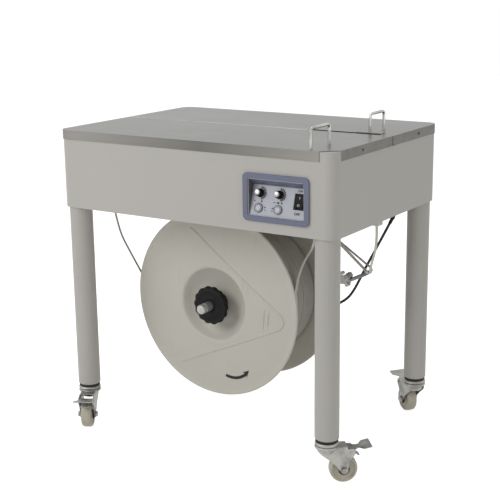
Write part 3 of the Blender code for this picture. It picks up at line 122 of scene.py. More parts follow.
# %% Draw into a bmesh
def add_turned(bm, profile, place=Matrix(), steps=96, finish=0, ring=False):
    """Spins (radius, height) points round the local Z axis. A ring profile has a bore."""
    angles = [2 * math.pi * i / steps for i in range(steps)]
    loops = []
    for radius, height in profile:
        on_axis = radius < 1e-7
        spots = [(0.0, 0.0)] if on_axis else [(radius * math.cos(a), radius * math.sin(a)) for a in angles]
        loops.append([bm.verts.new(place @ Vector((x, y, height))) for x, y in spots])
    if ring:
        loops.append(loops[0])
    for one, two in zip(loops, loops[1:]):
        for i in range(steps):
            k = (i + 1) % steps
            corners = [one[i % len(one)], one[k % len(one)], two[k % len(two)], two[i % len(two)]]
            corners = list(dict.fromkeys(corners))
            if len(corners) > 2:
                bm.faces.new(corners).material_index = finish
    return bm


def skin(bm, rows, finish=0, ends=True):
    """Joins rows of points that each go once round a piece, and closes its two ends."""
    for one, two in zip(rows, rows[1:]):
        for i in range(len(one)):
            k = (i + 1) % len(one)
            bm.faces.new((one[i], one[k], two[k], two[i])).material_index = finish
    if ends:
        bm.faces.new(rows[0][::-1]).material_index = finish
        bm.faces.new(rows[-1]).material_index = finish
    return bm


def add_tube(bm, path, radius, place=Matrix(), steps=14, finish=0):
    """Runs a round section along a path. The radius may be one number or one for each point."""
    points = [Vector(p) for p in path]
    last = len(points) - 1
    radii = list(radius) if hasattr(radius, "__len__") else [radius] * len(points)
    side = None
    rings = []
    for i, point in enumerate(points):
        along = (points[min(i + 1, last)] - points[max(i - 1, 0)]).normalized()
        if side is None:
            side = along.orthogonal().normalized()
        side = (side - along * side.dot(along)).normalized()
        other = along.cross(side)
        ring = []
        for k in range(steps):
            a = 2 * math.pi * k / steps
            ring.append(bm.verts.new(place @ (point + radii[i] * (side * math.cos(a) + other * math.sin(a)))))
        rings.append(ring)
    return skin(bm, rings, finish)


def add_slab(bm, outline, base, top, place=Matrix(), finish=0, soften=0.0):
    """Gives an (x, y) outline its thickness, from base to top, with softened edges."""
    lower = [bm.verts.new(place @ Vector((x, y, base))) for x, y in outline]
    upper = [bm.verts.new(place @ Vector((x, y, top))) for x, y in outline]
    faces = [bm.faces.new(lower[::-1]), bm.faces.new(upper)]
    for i in range(len(outline)):
        k = (i + 1) % len(outline)
        faces.append(bm.faces.new((lower[i], lower[k], upper[k], upper[i])))
    for face in faces:
        face.material_index = finish
    if soften:
        edges = [edge for face in faces[:2] for edge in face.edges]
        bmesh.ops.bevel(bm, geom=edges, offset=soften, segments=2, affect="EDGES", profile=0.5)
    return bm


def add_box(bm, low_corner, high_corner, place=Matrix(), finish=0, soften=0.0):
    (x0, y0, z0), (x1, y1, z1) = low_corner, high_corner
    return add_slab(bm, [(x0, y0), (x1, y0), (x1, y1), (x0, y1)], z0, z1, place, finish, soften)


print("drawing helpers: turned, skin, tube, slab, box")

# %% [markdown]
# `settle` moves a finished mesh from the machine's plan to its place in the frame, gives it its
# finishes, and hangs it on the body that it moves with. Two more helpers give places: one that
# faces out of the machine, and one whose outline stands in a plane across the machine.

# %% Settle a finished mesh on its body
def settle(bm, name, body, finishes, replaces=(), crease=38.0):
    """Makes a piece of a bmesh that is drawn in the machine's plan."""
    bmesh.ops.remove_doubles(bm, verts=bm.verts, dist=1e-7)
    bmesh.ops.recalc_face_normals(bm, faces=bm.faces)
    mesh = bpy.data.meshes.new(name)
    bm.to_mesh(mesh)
    bm.free()
    return settle_mesh(mesh, name, body, finishes, replaces, crease)


def settle_mesh(mesh, name, body, finishes, replaces=(), crease=38.0):
    """Gives a mesh its place, finishes and body. Without a body it hangs on none."""
    mesh.transform(Matrix.Translation(MIDDLE))
    if mesh.materials:
        mesh.materials.clear()
    for finish in finishes:
        mesh.materials.append(finish)
    mesh.shade_smooth()
    mesh.set_sharp_from_angle(angle=math.radians(crease))
    piece = bpy.data.objects.new(name, mesh)
    bpy.context.scene.collection.objects.link(piece)
    if body:
        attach(piece, body)
    if replaces:
        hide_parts(*replaces)
    print(f"{name}: {len(mesh.polygons)} faces on {body or 'no body yet'}")
    return piece


def settle_boxes(name, body, finish, corners, place=Matrix(), soften=0.0):
    """Makes a piece of plain boxes, each given by its low and its high corner."""
    bm = bmesh.new()
    for low_corner, high_corner in corners:
        add_box(bm, low_corner, high_corner, place, 0, soften)
    return settle(bm, name, body, [finish])


def facing_out(x, y, z, turn=0.0):
    """A place whose local Z points out of the machine: at the operator when the turn is 0."""
    return (Matrix.Translation((x, y, z)) @ Matrix.Rotation(turn, 4, "Z")
            @ Matrix.Rotation(math.pi / 2, 4, "X"))


ACROSS = Matrix(((0, 0, 1, 0), (1, 0, 0, 0), (0, 1, 0, 0), (0, 0, 0, 1)))
print("ACROSS lays an outline's x, y and thickness along the plan's y, z and x")

# %% [markdown]
# ## Shader maths
#
# A finish is mostly arithmetic on a few noise patterns. `Socket` wraps one output of a node
# tree, so that `0.4 + 0.1 * grain` adds the Math nodes by itself. `Finish` starts a material
# with one Principled shader, and its `node` method adds any other node: the type, then the
# settings, then what goes into its sockets.

# %% Sockets that add up
class Socket:
    """One output of a node in a finish."""

    def __init__(self, finish, output):
        self.finish = finish
        self.output = output

    def __add__(self, other):
        return self.finish.maths("ADD", self, other)

    __radd__ = __add__

    def __sub__(self, other):
        return self.finish.maths("SUBTRACT", self, other)

    def __rsub__(self, other):
        return self.finish.maths("SUBTRACT", other, self)

    def __mul__(self, other):
        return self.finish.maths("MULTIPLY", self, other)

    __rmul__ = __mul__


class Finish:
    """A material with one Principled shader and helpers for what varies over it."""

    def __init__(self, name, **constants):
        self.material = bpy.data.materials.new(name)
        self.material.use_nodes = True
        self.tree = self.material.node_tree
        self.tree.nodes.clear()
        self.shader = self.tree.nodes.new("ShaderNodeBsdfPrincipled")
        output = self.tree.nodes.new("ShaderNodeOutputMaterial")
        self.tree.links.new(self.shader.outputs[0], output.inputs["Surface"])
        for socket, value in constants.items():
            title = socket.replace("_", " ").title().replace("Ior", "IOR")
            self.shader.inputs[title].default_value = value
        self.place = self.node("ShaderNodeTexCoord", output="Object")

    def put(self, socket, value):
        if isinstance(value, Socket):
            self.tree.links.new(value.output, socket)
        else:
            socket.default_value = value

    def node(self, kind, settings=None, sockets=None, output=0):
        made = self.tree.nodes.new(kind)
        for name, value in (settings or {}).items():
            setattr(made, name, value)
        for name, value in (sockets or {}).items():
            self.put(made.inputs[name], value)
        return Socket(self, made.outputs[output])

    def maths(self, operation, *values):
        return self.node("ShaderNodeMath", {"operation": operation}, dict(enumerate(values)))

    def noise(self, place, scale, detail=2.0, roughness=0.5):
        return self.node("ShaderNodeTexNoise", sockets={
            "Vector": place, "Scale": scale, "Detail": detail, "Roughness": roughness})

    def stretched(self, scale, centre=(0.0, 0.0, 0.0)):
        """Object coordinates moved to a centre and scaled, for brushed or ringed patterns."""
        moved = self.node("ShaderNodeVectorMath", {"operation": "SUBTRACT"},
                          {0: self.place, 1: tuple(Vector(centre) + MIDDLE)})
        return self.node("ShaderNodeMapping", sockets={"Vector": moved, "Scale": scale})

    def step(self, value, start, end):
        """0 below start and 1 above end, and smooth between them."""
        return self.node("ShaderNodeMapRange", {"interpolation_type": "SMOOTHSTEP"},
                         {"Value": value, "From Min": start, "From Max": end})

    def mix(self, factor, one, two):
        return self.node("ShaderNodeMix", {"data_type": "RGBA"}, {0: factor, 6: one, 7: two}, output=2)

    def bump(self, height, depth, strength):
        return self.node("ShaderNodeBump", sockets={
            "Strength": strength, "Distance": depth, "Height": height})

    def part(self, vector, axis):
        return self.node("ShaderNodeSeparateXYZ", sockets={0: vector}, output=axis)

    def wear(self, colour, roughness, normal, metallic=0.0):
        """Puts what varies over the surface on the shader and hands the material back."""
        self.put(self.shader.inputs["Base Color"], colour)
        self.put(self.shader.inputs["Roughness"], roughness)
        self.put(self.shader.inputs["Metallic"], metallic)
        self.put(self.shader.inputs["Normal"], normal)
        return self.material


def tone(red, green, blue):
    """A colour as a paint chart gives it, 0 to 255, in the linear form a shader wants."""
    linear = [((v / 255 + 0.055) / 1.055) ** 2.4 if v > 10 else v / 255 / 12.92
              for v in (red, green, blue)]
    return (*linear, 1.0)


print("shader helpers ready, middle grey is", round(tone(128, 128, 128)[0], 3))

# %% [markdown]
# ## Finishes
#
# The cabinet and legs are powder coated: a warm light grey with the fine orange peel of baked
# powder. Two noises do it: a fine one for the peel in the bump, and a broad one for the slight
# drift in tone that any large painted panel shows.

# %% Powder coat
def powder_coat(name, light, dark):
    paint = Finish(name, specular_ior_level=0.35)
    peel = paint.noise(paint.place, 420.0, 2.0)
    cloud = paint.noise(paint.place, 3.2, 3.0)
    fleck = paint.step(paint.noise(paint.place, 900.0, 1.0), 0.64, 0.72)
    colour = paint.mix(cloud, tone(*dark), tone(*light))
    colour = paint.mix(0.06 * fleck, colour, tone(120, 118, 112))
    return paint.wear(colour, 0.42 + 0.12 * peel + 0.06 * cloud, paint.bump(peel, 0.00012, 0.5))


CABINET_PAINT = powder_coat("powder_coat_cabinet", (194, 191, 185), (188, 185, 179))
LEG_PAINT = powder_coat("powder_coat_legs", (190, 187, 181), (184, 181, 175))
print("powder coat", CABINET_PAINT.name, LEG_PAINT.name)

# %% [markdown]
# The table top is stainless sheet with a brushed grain along its length. Noise that is squeezed
# across the grain and pulled along it gives the scratches. Its reflections are painted into its
# colour, and three masks tell the faces apart: those that look up are the sheet, with a painted
# reflection that darkens a little from left to right, those that look sideways are the end skirts,
# painted darker still, and the long skirts carry a painted reflection that is darkest at their middle.

# %% Brushed steel
def brushed_steel(name):
    steel = Finish(name)
    grain = steel.noise(steel.stretched((9.0, 900.0, 900.0)), 1.0, 3.0, 0.6)
    streak = steel.noise(steel.stretched((1.2, 60.0, 60.0)), 1.0, 2.0)
    smear = steel.noise(steel.place, 7.0, 4.0, 0.6)
    facing = steel.node("ShaderNodeNewGeometry", output="Normal")
    upward = steel.step(steel.part(facing, "Z"), 0.35, 0.8)
    sideways = steel.step(steel.maths("ABSOLUTE", steel.part(facing, "X")), 0.3, 0.8)
    across = steel.part(steel.stretched((1.0, 1.0, 1.0)), "X")
    # painted reflection: the long skirts darken towards their middle, where they mirror the floor's shade
    middle = steel.maths("MAXIMUM", 1.0 - steel.maths("ABSOLUTE", across - 0.04) * 2.9, 0.0)
    skirt_painted_reflection = steel.mix(0.75 * middle, tone(141, 138, 132), tone(62, 61, 58))
    # painted reflection: the end skirts, which look sideways, are painted darker still
    skirt_painted_reflection = steel.mix(sideways, skirt_painted_reflection, tone(94, 92, 88))
    # painted reflection: the top sheet darkens a little from left to right
    sheet = steel.mix(0.5 + 1.36 * across, tone(106, 105, 103), tone(92, 91, 89))
    shine = steel.mix(upward, tone(168, 167, 163), tone(134, 133, 130))
    lighter = steel.mix(0.35 * streak, steel.mix(upward, skirt_painted_reflection, sheet), shine)
    colour = steel.mix(0.22 * grain, lighter, tone(86, 85, 82))
    rough = 0.36 - 0.11 * upward + 0.08 * grain + 0.06 * smear
    return steel.wear(colour, rough, steel.bump(grain, 0.00006, 0.5), metallic=0.85)


TABLE_STEEL = brushed_steel("brushed_stainless_table")
print("steel", TABLE_STEEL.name)

# %% [markdown]
# Casters, rods, pins and brackets are zinc plated or polished. Plating is bright with a faint
# cloudy spangle, and it dulls where grease and dust sit.

# %% Plated and polished metal
def plated(name, colour, dull, rough, spangle=160.0):
    zinc = Finish(name)
    cloud = zinc.noise(zinc.place, spangle, 3.0, 0.6)
    dust = zinc.noise(zinc.place, 28.0, 4.0, 0.65)
    shade = zinc.mix(zinc.step(dust, 0.42, 0.72), tone(*colour), tone(*dull))
    return zinc.wear(shade, rough + 0.16 * cloud + 0.08 * dust, zinc.bump(cloud, 0.00008, 0.35), metallic=0.9)


ZINC = plated("zinc_plate", (163, 162, 158), (130, 128, 123), 0.34)
POLISHED = plated("polished_rod", (196, 195, 191), (160, 158, 153), 0.2, 90.0)
TURNED = plated("turned_steel", (184, 183, 180), (158, 157, 154), 0.38, 90.0)
DULL_IRON = plated("dull_cast_iron", (140, 140, 140), (100, 100, 98), 0.45, 240.0)
BLACKENED = plated("blackened_screw", (84, 83, 80), (60, 60, 58), 0.4, 240.0)
print("plating", ZINC.name, POLISHED.name, DULL_IRON.name)

# %% [markdown]
# Plastics differ by their gloss and by what the mould left. The reel is pressed from off-white
# polypropylene, and shows faint rings where the melt flowed outwards. The wheels are nylon that
# has yellowed. Black parts have the fine grain of a spark-eroded mould. Band on the reel is painted
# a shade darker than a single ribbon, as painted shade for the light lost between its rows, and the
# side wall of the panel's recess is painted dark grey for the shade it stands in.

# %% Moulded plastics
def moulded(name, colour, shade, rough, grain=700.0, depth=0.00008, drift=14.0, **constants):
    plastic = Finish(name, **constants)
    skin_grain = plastic.noise(plastic.place, grain, 2.0)
    broad = plastic.noise(plastic.place, drift, 3.0)
    mixed = plastic.mix(broad, tone(*shade), tone(*colour))
    return plastic.wear(mixed, rough + 0.10 * skin_grain + 0.05 * broad,
                        plastic.bump(skin_grain, depth, 0.4))


def reel_moulding(name, colour, shade, centre):
    plastic = Finish(name)
    moved = plastic.stretched((1.0, 0.0, 1.0), centre)
    radius = plastic.node("ShaderNodeVectorMath", {"operation": "LENGTH"}, {0: moved}, output="Value")
    wobble = plastic.noise(plastic.place, 22.0, 2.0)
    flow = plastic.maths("SINE", 900.0 * radius + 5.0 * wobble)
    broad = plastic.noise(plastic.place, 6.0, 3.0)
    skin_grain = plastic.noise(plastic.place, 520.0, 2.0)
    mixed = plastic.mix(0.65 * broad + 0.05 * flow + 0.12, tone(*shade), tone(*colour))
    scuff = plastic.step(plastic.noise(plastic.stretched((60.0, 60.0, 9.0)), 1.0, 3.0), 0.62, 0.8)
    mixed = plastic.mix(0.15 * scuff, mixed, tone(150, 146, 134))
    return plastic.wear(mixed, 0.40 + 0.08 * skin_grain + 0.02 * flow + 0.1 * scuff,
                        plastic.bump(skin_grain + 0.25 * flow, 0.00008, 0.4))


REEL_X = -0.039
REEL_Z = 0.318
REEL_PLASTIC = reel_moulding("reel_polypropylene", (206, 203, 193), (197, 193, 182), (REEL_X, 0.0, REEL_Z))
NYLON = moulded("wheel_nylon", (198, 192, 175), (178, 172, 154), 0.42, 300.0, 0.00015, 60.0)
BLACK = moulded("black_moulding", (16, 16, 17), (9, 9, 10), 0.55, 800.0, 0.0002, specular_ior_level=0.22)
BEZEL = moulded("bezel_blue_grey", (113, 117, 138), (104, 108, 129), 0.42)
PANEL = moulded("panel_sheet", (190, 192, 200), (181, 183, 192), 0.46, 500.0, 0.00005)
BUTTON = moulded("button_plastic", (196, 198, 205), (184, 186, 194), 0.32)
BAND = moulded("polypropylene_band", (212, 209, 199), (196, 193, 182), 0.36, 260.0, 0.0002, 40.0)
# painted shade: the band on the reel is darker than a single ribbon, for the light lost between its rows
SHADED_WOUND_BAND = moulded("band_on_the_reel_painted_shade", (174, 171, 162), (158, 154, 145), 0.42, 260.0, 0.0002, 40.0)
# painted shade: the recess side wall is dark grey for the shade it stands in; the outer button rings use the
# same grey as their own colour
RING_GREY_AND_WALL_SHADE = moulded("ring_grey_and_painted_wall_shade", (98, 98, 97), (86, 86, 86), 0.6)
print("plastics", REEL_PLASTIC.name, NYLON.name, BLACK.name, PANEL.name, BAND.name)

# %% [markdown]
# Rubber and soft vinyl are matt, and the cord's jacket is the finer grained and glossier of the
# two. Inks are thin, even layers, so they only need a little mottling.

# %% Rubber, vinyl and inks
def matt(name, colour, shade, rough, grain=500.0):
    rubber = Finish(name, specular_ior_level=0.35)
    speck = rubber.noise(rubber.place, grain, 3.0, 0.6)
    haze = rubber.noise(rubber.place, 35.0, 3.0)
    return rubber.wear(rubber.mix(haze, tone(*shade), tone(*colour)), rough + 0.15 * speck,
                       rubber.bump(speck, 0.0001, 0.5))


RUBBER = matt("black_rubber", (38, 38, 38), (26, 26, 26), 0.6)
VINYL = matt("cord_jacket", (30, 30, 31), (20, 20, 21), 0.42, 900.0)
BLACK_INK = matt("black_ink", (16, 16, 18), (10, 10, 12), 0.55)
WHITE_INK = matt("white_ink", (226, 226, 224), (214, 214, 212), 0.5)
# painted shade for the dark gap under each leg
SHADOW_GAP = matt("dark_gap_shade", (46, 45, 43), (34, 33, 32), 0.7)
print("rubber, vinyl and inks ready")

# %% [markdown]
# ## The mains cord
#
# A black three-core lead leaves the underside of the cabinet at the right rear, hangs to the
# back of the machine and goes down behind the reel to the floor. Only its way down from the
# cabinet shows from the front. The rest is put away as for storage, in a neat coil behind the
# reel, with the plug on top. The lead is 6.5 mm thick. It is drawn as one curve, because a cord
# is one length of one thing, and its coil is four flat spirals, one on another.

# %% The cord's route and a smooth path through it
CORD_DIAMETER = 0.0065
CORD_ROUTE = [
    (0.3120, 0.1400, 0.5305), (0.3112, 0.1400, 0.5248), (0.3090, 0.1400, 0.5189),
    (0.2683, 0.1400, 0.4416), (0.2366, 0.1400, 0.3819), (0.2223, 0.1400, 0.3530),
    (0.2080, 0.1400, 0.3270), (0.1935, 0.1405, 0.3075), (0.1735, 0.1410, 0.2915),
    (0.1380, 0.1430, 0.2715), (0.1000, 0.1450, 0.2620), (0.0620, 0.1470, 0.2670),
    (0.0280, 0.1490, 0.2880), (0.0020, 0.1500, 0.3135), (-0.0190, 0.1500, 0.3300),
    (-0.0410, 0.1500, 0.3345), (-0.0630, 0.1510, 0.3230), (-0.0820, 0.1540, 0.2950),
    (-0.0970, 0.1590, 0.2570), (-0.1090, 0.1650, 0.2120), (-0.1180, 0.1710, 0.1620),
    (-0.1235, 0.1760, 0.1120), (-0.1258, 0.1800, 0.0700),
]


def smooth_path(points, per_span):
    """A smooth curve through points, with leads in proportion to each span."""
    knots = [Vector(point) for point in points]
    path = [knots[0]]
    for i in range(len(knots) - 1):
        before = knots[max(i - 1, 0)]
        after = knots[min(i + 2, len(knots) - 1)]
        span = (knots[i + 1] - knots[i]).length
        lead = (knots[i + 1] - before).normalized() * span / 3
        trail = (after - knots[i]).normalized() * span / 3
        path += interpolate_bezier(knots[i], knots[i] + lead, knots[i + 1] - trail,
                                   knots[i + 1], per_span + 1)[1:]
    return path


print("cord route", len(CORD_ROUTE), "points")

# %% The coil
COIL_CENTRE = Vector((-0.176, 0.195))
COIL_ROWS = [0.0036, 0.0104, 0.0172, 0.0240]
ROW_CHANGES = (2.5, 4.5, 6.5)
COIL_SWING = [(0.0, 0.0491), (0.5, 0.0424), (2.5, 0.0290), (4.5, 0.0424), (6.5, 0.0290), (7.86, 0.0375)]
WAY_IN_HEIGHT = 0.052
WAY_IN_TURNS = 0.19
PLUG_PLACE = (-0.176, 0.1575, 0.0368)
COIL_END = 7.765
COIL_POINTS = 190


def ease(value, start, end):
    share = min(1.0, max(0.0, (value - start) / (end - start)))
    return share * share * (3 - 2 * share)


def coil_point(turns):
    """Where the cord is after so many turns, from the way in at 0 to the plug."""
    radius = COIL_SWING[0][1]
    for (t0, r0), (t1, r1) in zip(COIL_SWING, COIL_SWING[1:]):
        if turns >= t0:
            radius = r0 + (r1 - r0) * min(1.0, (turns - t0) / (t1 - t0))
    height = COIL_ROWS[0]
    for change, under, over in zip(ROW_CHANGES, COIL_ROWS, COIL_ROWS[1:]):
        height += (over - under) * ease(turns, change - 0.09, change + 0.09)
    height += (WAY_IN_HEIGHT - COIL_ROWS[0]) * (1.0 - min(1.0, turns / WAY_IN_TURNS)) ** 2.0
    height += (PLUG_PLACE[2] - COIL_ROWS[3]) * ease(turns, 7.40, 7.80)
    angle = 2 * math.pi * (turns - 0.015)
    return Vector((COIL_CENTRE.x + radius * math.cos(angle),
                   COIL_CENTRE.y + radius * math.sin(angle), height))


coil = [coil_point(COIL_END * i / COIL_POINTS) for i in range(COIL_POINTS + 1)]
tail = [Vector((-0.1700, PLUG_PLACE[1], PLUG_PLACE[2]))]
print("coil from", [round(v, 4) for v in coil[0]], "to", [round(v, 4) for v in coil[-1]])

# %% [markdown]
# The curve is a polyline with a round bevel. The way down to the coil is joined to its first
# turn by the same smooth path as the rest, so the lead never kinks.

# %% The cord as one curve
cord_points = smooth_path(CORD_ROUTE + [tuple(p) for p in coil[1:4]], 6) + coil[4:] + tail
length = sum((b - a).length for a, b in zip(cord_points, cord_points[1:]))
curve = bpy.data.curves.new("mains_cord", "CURVE")
curve.dimensions = "3D"
spline = curve.splines.new("POLY")
spline.points.add(len(cord_points) - 1)
for point, place in zip(spline.points, cord_points):
    point.co = (*(place + MIDDLE), 1.0)
curve.bevel_depth = CORD_DIAMETER / 2
curve.bevel_resolution = 4
curve.use_fill_caps = True
curve.materials.append(VINYL)
mains_cord = bpy.data.objects.new("mains_cord", curve)
bpy.context.scene.collection.objects.link(mains_cord)
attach(mains_cord, "frame")
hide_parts("power_cord", "cord_coil")
print("cord", round(length, 3), "m,", len(cord_points), "points")

# %% [markdown]
# The plug is a softened block with a stepped, ribbed tail and two round pins. Where the lead
# leaves the cabinet, a grooved gland holds a sleeve that tapers along the lead, with a rib at
# every third point of it.

# %% The plug and the strain relief
def rounded_outline(x0, x1, half_height, corner):
    """A moulded body's outline with round corners, as (x, z) points."""
    right, left, top = x1 - corner, x0 + corner, half_height - corner
    outline = []
    for start, centre in ((0, (right, top)), (90, (left, top)), (180, (left, -top)), (270, (right, -top))):
        outline += bow(centre, corner, start, start + 90, 8)
    return outline


bm = bmesh.new()
at_plug = Matrix.Translation(PLUG_PLACE)
add_slab(bm, rounded_outline(0.010, 0.046, 0.0073, 0.004), -0.0078, 0.0078,
         at_plug @ Matrix.Rotation(math.pi / 2, 4, "X"), 0, 0.0025)
for side in (-0.0045, 0.0045):
    add_tube(bm, [(x, side, 0.0) for x in (0.044, 0.056, 0.0625, 0.064)],
             [0.0022, 0.0022, 0.0022, 0.0012], at_plug, 14, 1)
for k in range(5):
    x = 0.0115 - 0.0042 * k
    reach = 0.0064 - 0.0005 * k
    add_tube(bm, [(x, 0, 0), (x - 0.0028, 0, 0)], [reach, reach - 0.0003], at_plug, 20)
plug = settle(bm, "moulded_plug", "frame", [BLACK, POLISHED], ["mains_plug"])

CORD_EXIT = (0.312, 0.140)
bm = bmesh.new()
add_turned(bm, [(0.0, 0.5631), (0.0108, 0.5631), (0.0122, 0.5612), (0.0122, 0.5556), (0.0070, 0.5553),
                (0.0070, 0.5512), (0.0118, 0.5508), (0.0122, 0.5490), (0.0122, 0.5440), (0.0095, 0.5425),
                (0.0080, 0.5400), (0.0, 0.5400)], Matrix.Translation((*CORD_EXIT, 0.0)), 40)
sleeve = [Vector((*CORD_EXIT, 0.5410)), Vector((*CORD_EXIT, 0.5358)), cord_points[0]]
sleeve += [p for p in cord_points if 0.505 < p.z < 0.5305]
taper = [0.0014 * i / (len(sleeve) - 1) for i in range(len(sleeve))]
add_tube(bm, sleeve, [0.0054 - less for less in taper], steps=24)
for i in range(0, len(sleeve) - 1, 3):
    rib = (sleeve[i + 1] - sleeve[i]).normalized() * 0.0022
    add_tube(bm, [sleeve[i], sleeve[i] + rib], 0.0061 - taper[i], steps=24)
relief = settle(bm, "strain_relief", "frame", [BLACK], ["cord_gland"])

# %% [markdown]
# ## Geometry Nodes for what repeats
#
# Flutes, ribs, dashes and screws sit at even steps round an axis or along a line. One small tree
# does most of them: a ring of points with a block on each, turned to face outwards. Its sizes are
# named inputs, so the same tree gives a knob its flutes and the nut its ribs. The result is made
# a plain mesh before it gets its place.

# %% A tree that sets things round a ring
class Growth:
    """A Geometry Nodes tree with named number inputs."""

    def __init__(self, name):
        self.group = bpy.data.node_groups.new(name, "GeometryNodeTree")
        self.group.interface.new_socket("Geometry", in_out="OUTPUT", socket_type="NodeSocketGeometry")
        self.ends = self.group.nodes.new("NodeGroupInput")
        self.inputs = {}

    def number(self, name, value, whole=False):
        kind = "NodeSocketInt" if whole else "NodeSocketFloat"
        made = self.group.interface.new_socket(name, in_out="INPUT", socket_type=kind)
        made.default_value = value
        self.inputs[name] = made.identifier
        return self.ends.outputs[name]

    def node(self, kind, settings=None, sockets=None, output=0):
        made = self.group.nodes.new(kind)
        for name, value in (settings or {}).items():
            setattr(made, name, value)
        for name, value in (sockets or {}).items():
            if isinstance(value, bpy.types.NodeSocket):
                self.group.links.new(value, made.inputs[name])
            else:
                made.inputs[name].default_value = value
        return made.outputs[output]

    def maths(self, operation, *values):
        return self.node("ShaderNodeMath", {"operation": operation}, dict(enumerate(values)))

    def close(self, geometry, finish):
        real = self.node("GeometryNodeRealizeInstances", sockets={0: geometry})
        painted = self.node("GeometryNodeSetMaterial", sockets={0: real, "Material": finish})
        end = self.group.nodes.new("NodeGroupOutput")
        self.group.links.new(painted, end.inputs[0])
        return self


def grow(growth, values, name):
    """Runs a tree with these sizes and hands back a plain mesh."""
    holder = bpy.data.objects.new(name, bpy.data.meshes.new(name))
    bpy.context.scene.collection.objects.link(holder)
    modifier = holder.modifiers.new("grow", "NODES")
    modifier.node_group = growth.group
    for key, value in values.items():
        modifier[growth.inputs[key]] = value
    ready = holder.evaluated_get(bpy.context.evaluated_depsgraph_get())
    mesh = bpy.data.meshes.new_from_object(ready)
    holder.modifiers.clear()
    bpy.data.objects.remove(holder)
    mesh.name = name
    return mesh


def ring_of_blocks(finish):
    """Count blocks on a circle round Z, from Start over Sweep, each facing outwards."""
    growth = Growth("ring_of_blocks")
    count = growth.number("Count", 12, whole=True)
    radius = growth.number("Radius", 0.01)
    start = growth.number("Start", 0.0)
    sweep = growth.number("Sweep", 2 * math.pi)
    size = [growth.number(axis, 0.001) for axis in ("Out", "Across", "High")]
    points = growth.node("GeometryNodePoints", sockets={"Count": count})
    turn = growth.maths("ADD", start, growth.maths("MULTIPLY", sweep, growth.maths(
        "DIVIDE", growth.node("GeometryNodeInputIndex"), count)))
    place = growth.node("ShaderNodeCombineXYZ", sockets={
        0: growth.maths("MULTIPLY", radius, growth.maths("COSINE", turn)),
        1: growth.maths("MULTIPLY", radius, growth.maths("SINE", turn))})
    moved = growth.node("GeometryNodeSetPosition", sockets={0: points, "Position": place})
    shape = growth.node("GeometryNodeMeshCube", sockets={"Size": growth.node(
        "ShaderNodeCombineXYZ", sockets=dict(enumerate(size)))})
    facing = growth.node("ShaderNodeCombineXYZ", sockets={2: turn})
    on_points = growth.node("GeometryNodeInstanceOnPoints", sockets={
        0: moved, "Instance": shape, "Rotation": facing})
    return growth.close(on_points, finish)


BLACK_RING = ring_of_blocks(BLACK)
INK_RING = ring_of_blocks(BLACK_INK)
print("ring trees", BLACK_RING.group.name, list(BLACK_RING.inputs))

# %% [markdown]
# ## The reel
#
# Two dished flanges clamp the coil of band between them. Each is a shallow turned dish: a flat
# web that leans out a little, a rolled rim, and a soft bowl at the hub for the nut. The web is
# stiffened by a raised bead that runs round three corners and two sides of a rounded triangle,
# with a pair of short bars where the third side would be. The dish is turned in fine steps so
# that its long rim stays round, and the beads are half-round strips laid on the web.

# %% Flange profile
REEL_FRONT = -0.100
REEL_BACK = 0.090
FLANGE_RADIUS = 0.228
HUB_RADIUS = 0.0915
WEB_OUTER = FLANGE_RADIUS - 0.009
WEB_INNER = HUB_RADIUS + 0.014
WEB_LEAN = 0.0070


def flange_section():
    """(radius, depth inwards) of the half section, from the rim in over the front and back."""
    front = [(FLANGE_RADIUS, 0.0006), (FLANGE_RADIUS - 0.0006, -0.0009), (FLANGE_RADIUS - 0.0018, -0.0015),
             (FLANGE_RADIUS - 0.0050, -0.0015), (FLANGE_RADIUS - 0.0068, -0.0010), (WEB_OUTER, -0.0001)]
    web = [(WEB_OUTER + (WEB_INNER - WEB_OUTER) * k / 12, -0.0001 - WEB_LEAN * k / 12) for k in range(1, 13)]
    crown = [(HUB_RADIUS + 0.0095, -0.0078), (HUB_RADIUS + 0.0045, -0.0082), (HUB_RADIUS, -0.0078),
             (HUB_RADIUS - 0.0028, -0.0060), (HUB_RADIUS - 0.0052, -0.0035)]
    bowl = [(0.0800, 0.0042), (0.0740, 0.0092), (0.0680, 0.0132), (0.0610, 0.0166), (0.0530, 0.0189),
            (0.0440, 0.0200), (0.0340, 0.0203)]
    hub = [(0.0196, 0.0203), (0.0196, 0.0230), (0.0618, 0.0230), (0.0645, 0.0212), (0.0668, 0.0180)]
    back = [(HUB_RADIUS - 0.0035, -0.0005), (HUB_RADIUS, 0.0040), (HUB_RADIUS, 0.0940),
            (HUB_RADIUS + 0.003, 0.0940), (HUB_RADIUS + 0.003, -0.0045), (HUB_RADIUS + 0.0100, -0.0048),
            (WEB_OUTER, 0.0029), (FLANGE_RADIUS - 0.0065, 0.0042), (FLANGE_RADIUS - 0.001, 0.0044),
            (FLANGE_RADIUS, 0.0036)]
    return front + web + crown + bowl + hub + back


def web_height(radius):
    """How far the web stands forward of the reel's face at a radius."""
    share = (WEB_OUTER - radius) / (WEB_OUTER - WEB_INNER)
    return 0.0001 + WEB_LEAN * min(1.0, max(0.0, share))


print("flange section", len(flange_section()), "points")

# %% Beads on the web
BEAD_SINK = 0.0002
BEAD_UNDER = 0.0008


def bead_route(reach, corner, turn):
    """A rounded triangle without its third side, as points from one open end to the other."""
    route = []
    for k, start, end in ((-1, 25, 60), (0, -60, 60), (1, -60, -25)):
        tip = math.radians(turn + 120 * k)
        centre = Vector((math.cos(tip), math.sin(tip))) * (reach - 2 * corner)
        angles = [tip + math.radians(start + (end - start) * j / 10) for j in range(11)]
        arc = [centre + Vector((math.cos(a), math.sin(a))) * corner for a in angles]
        if route:
            route += [route[-1].lerp(arc[0], j / 26) for j in range(1, 26)]
        route += arc
    return route


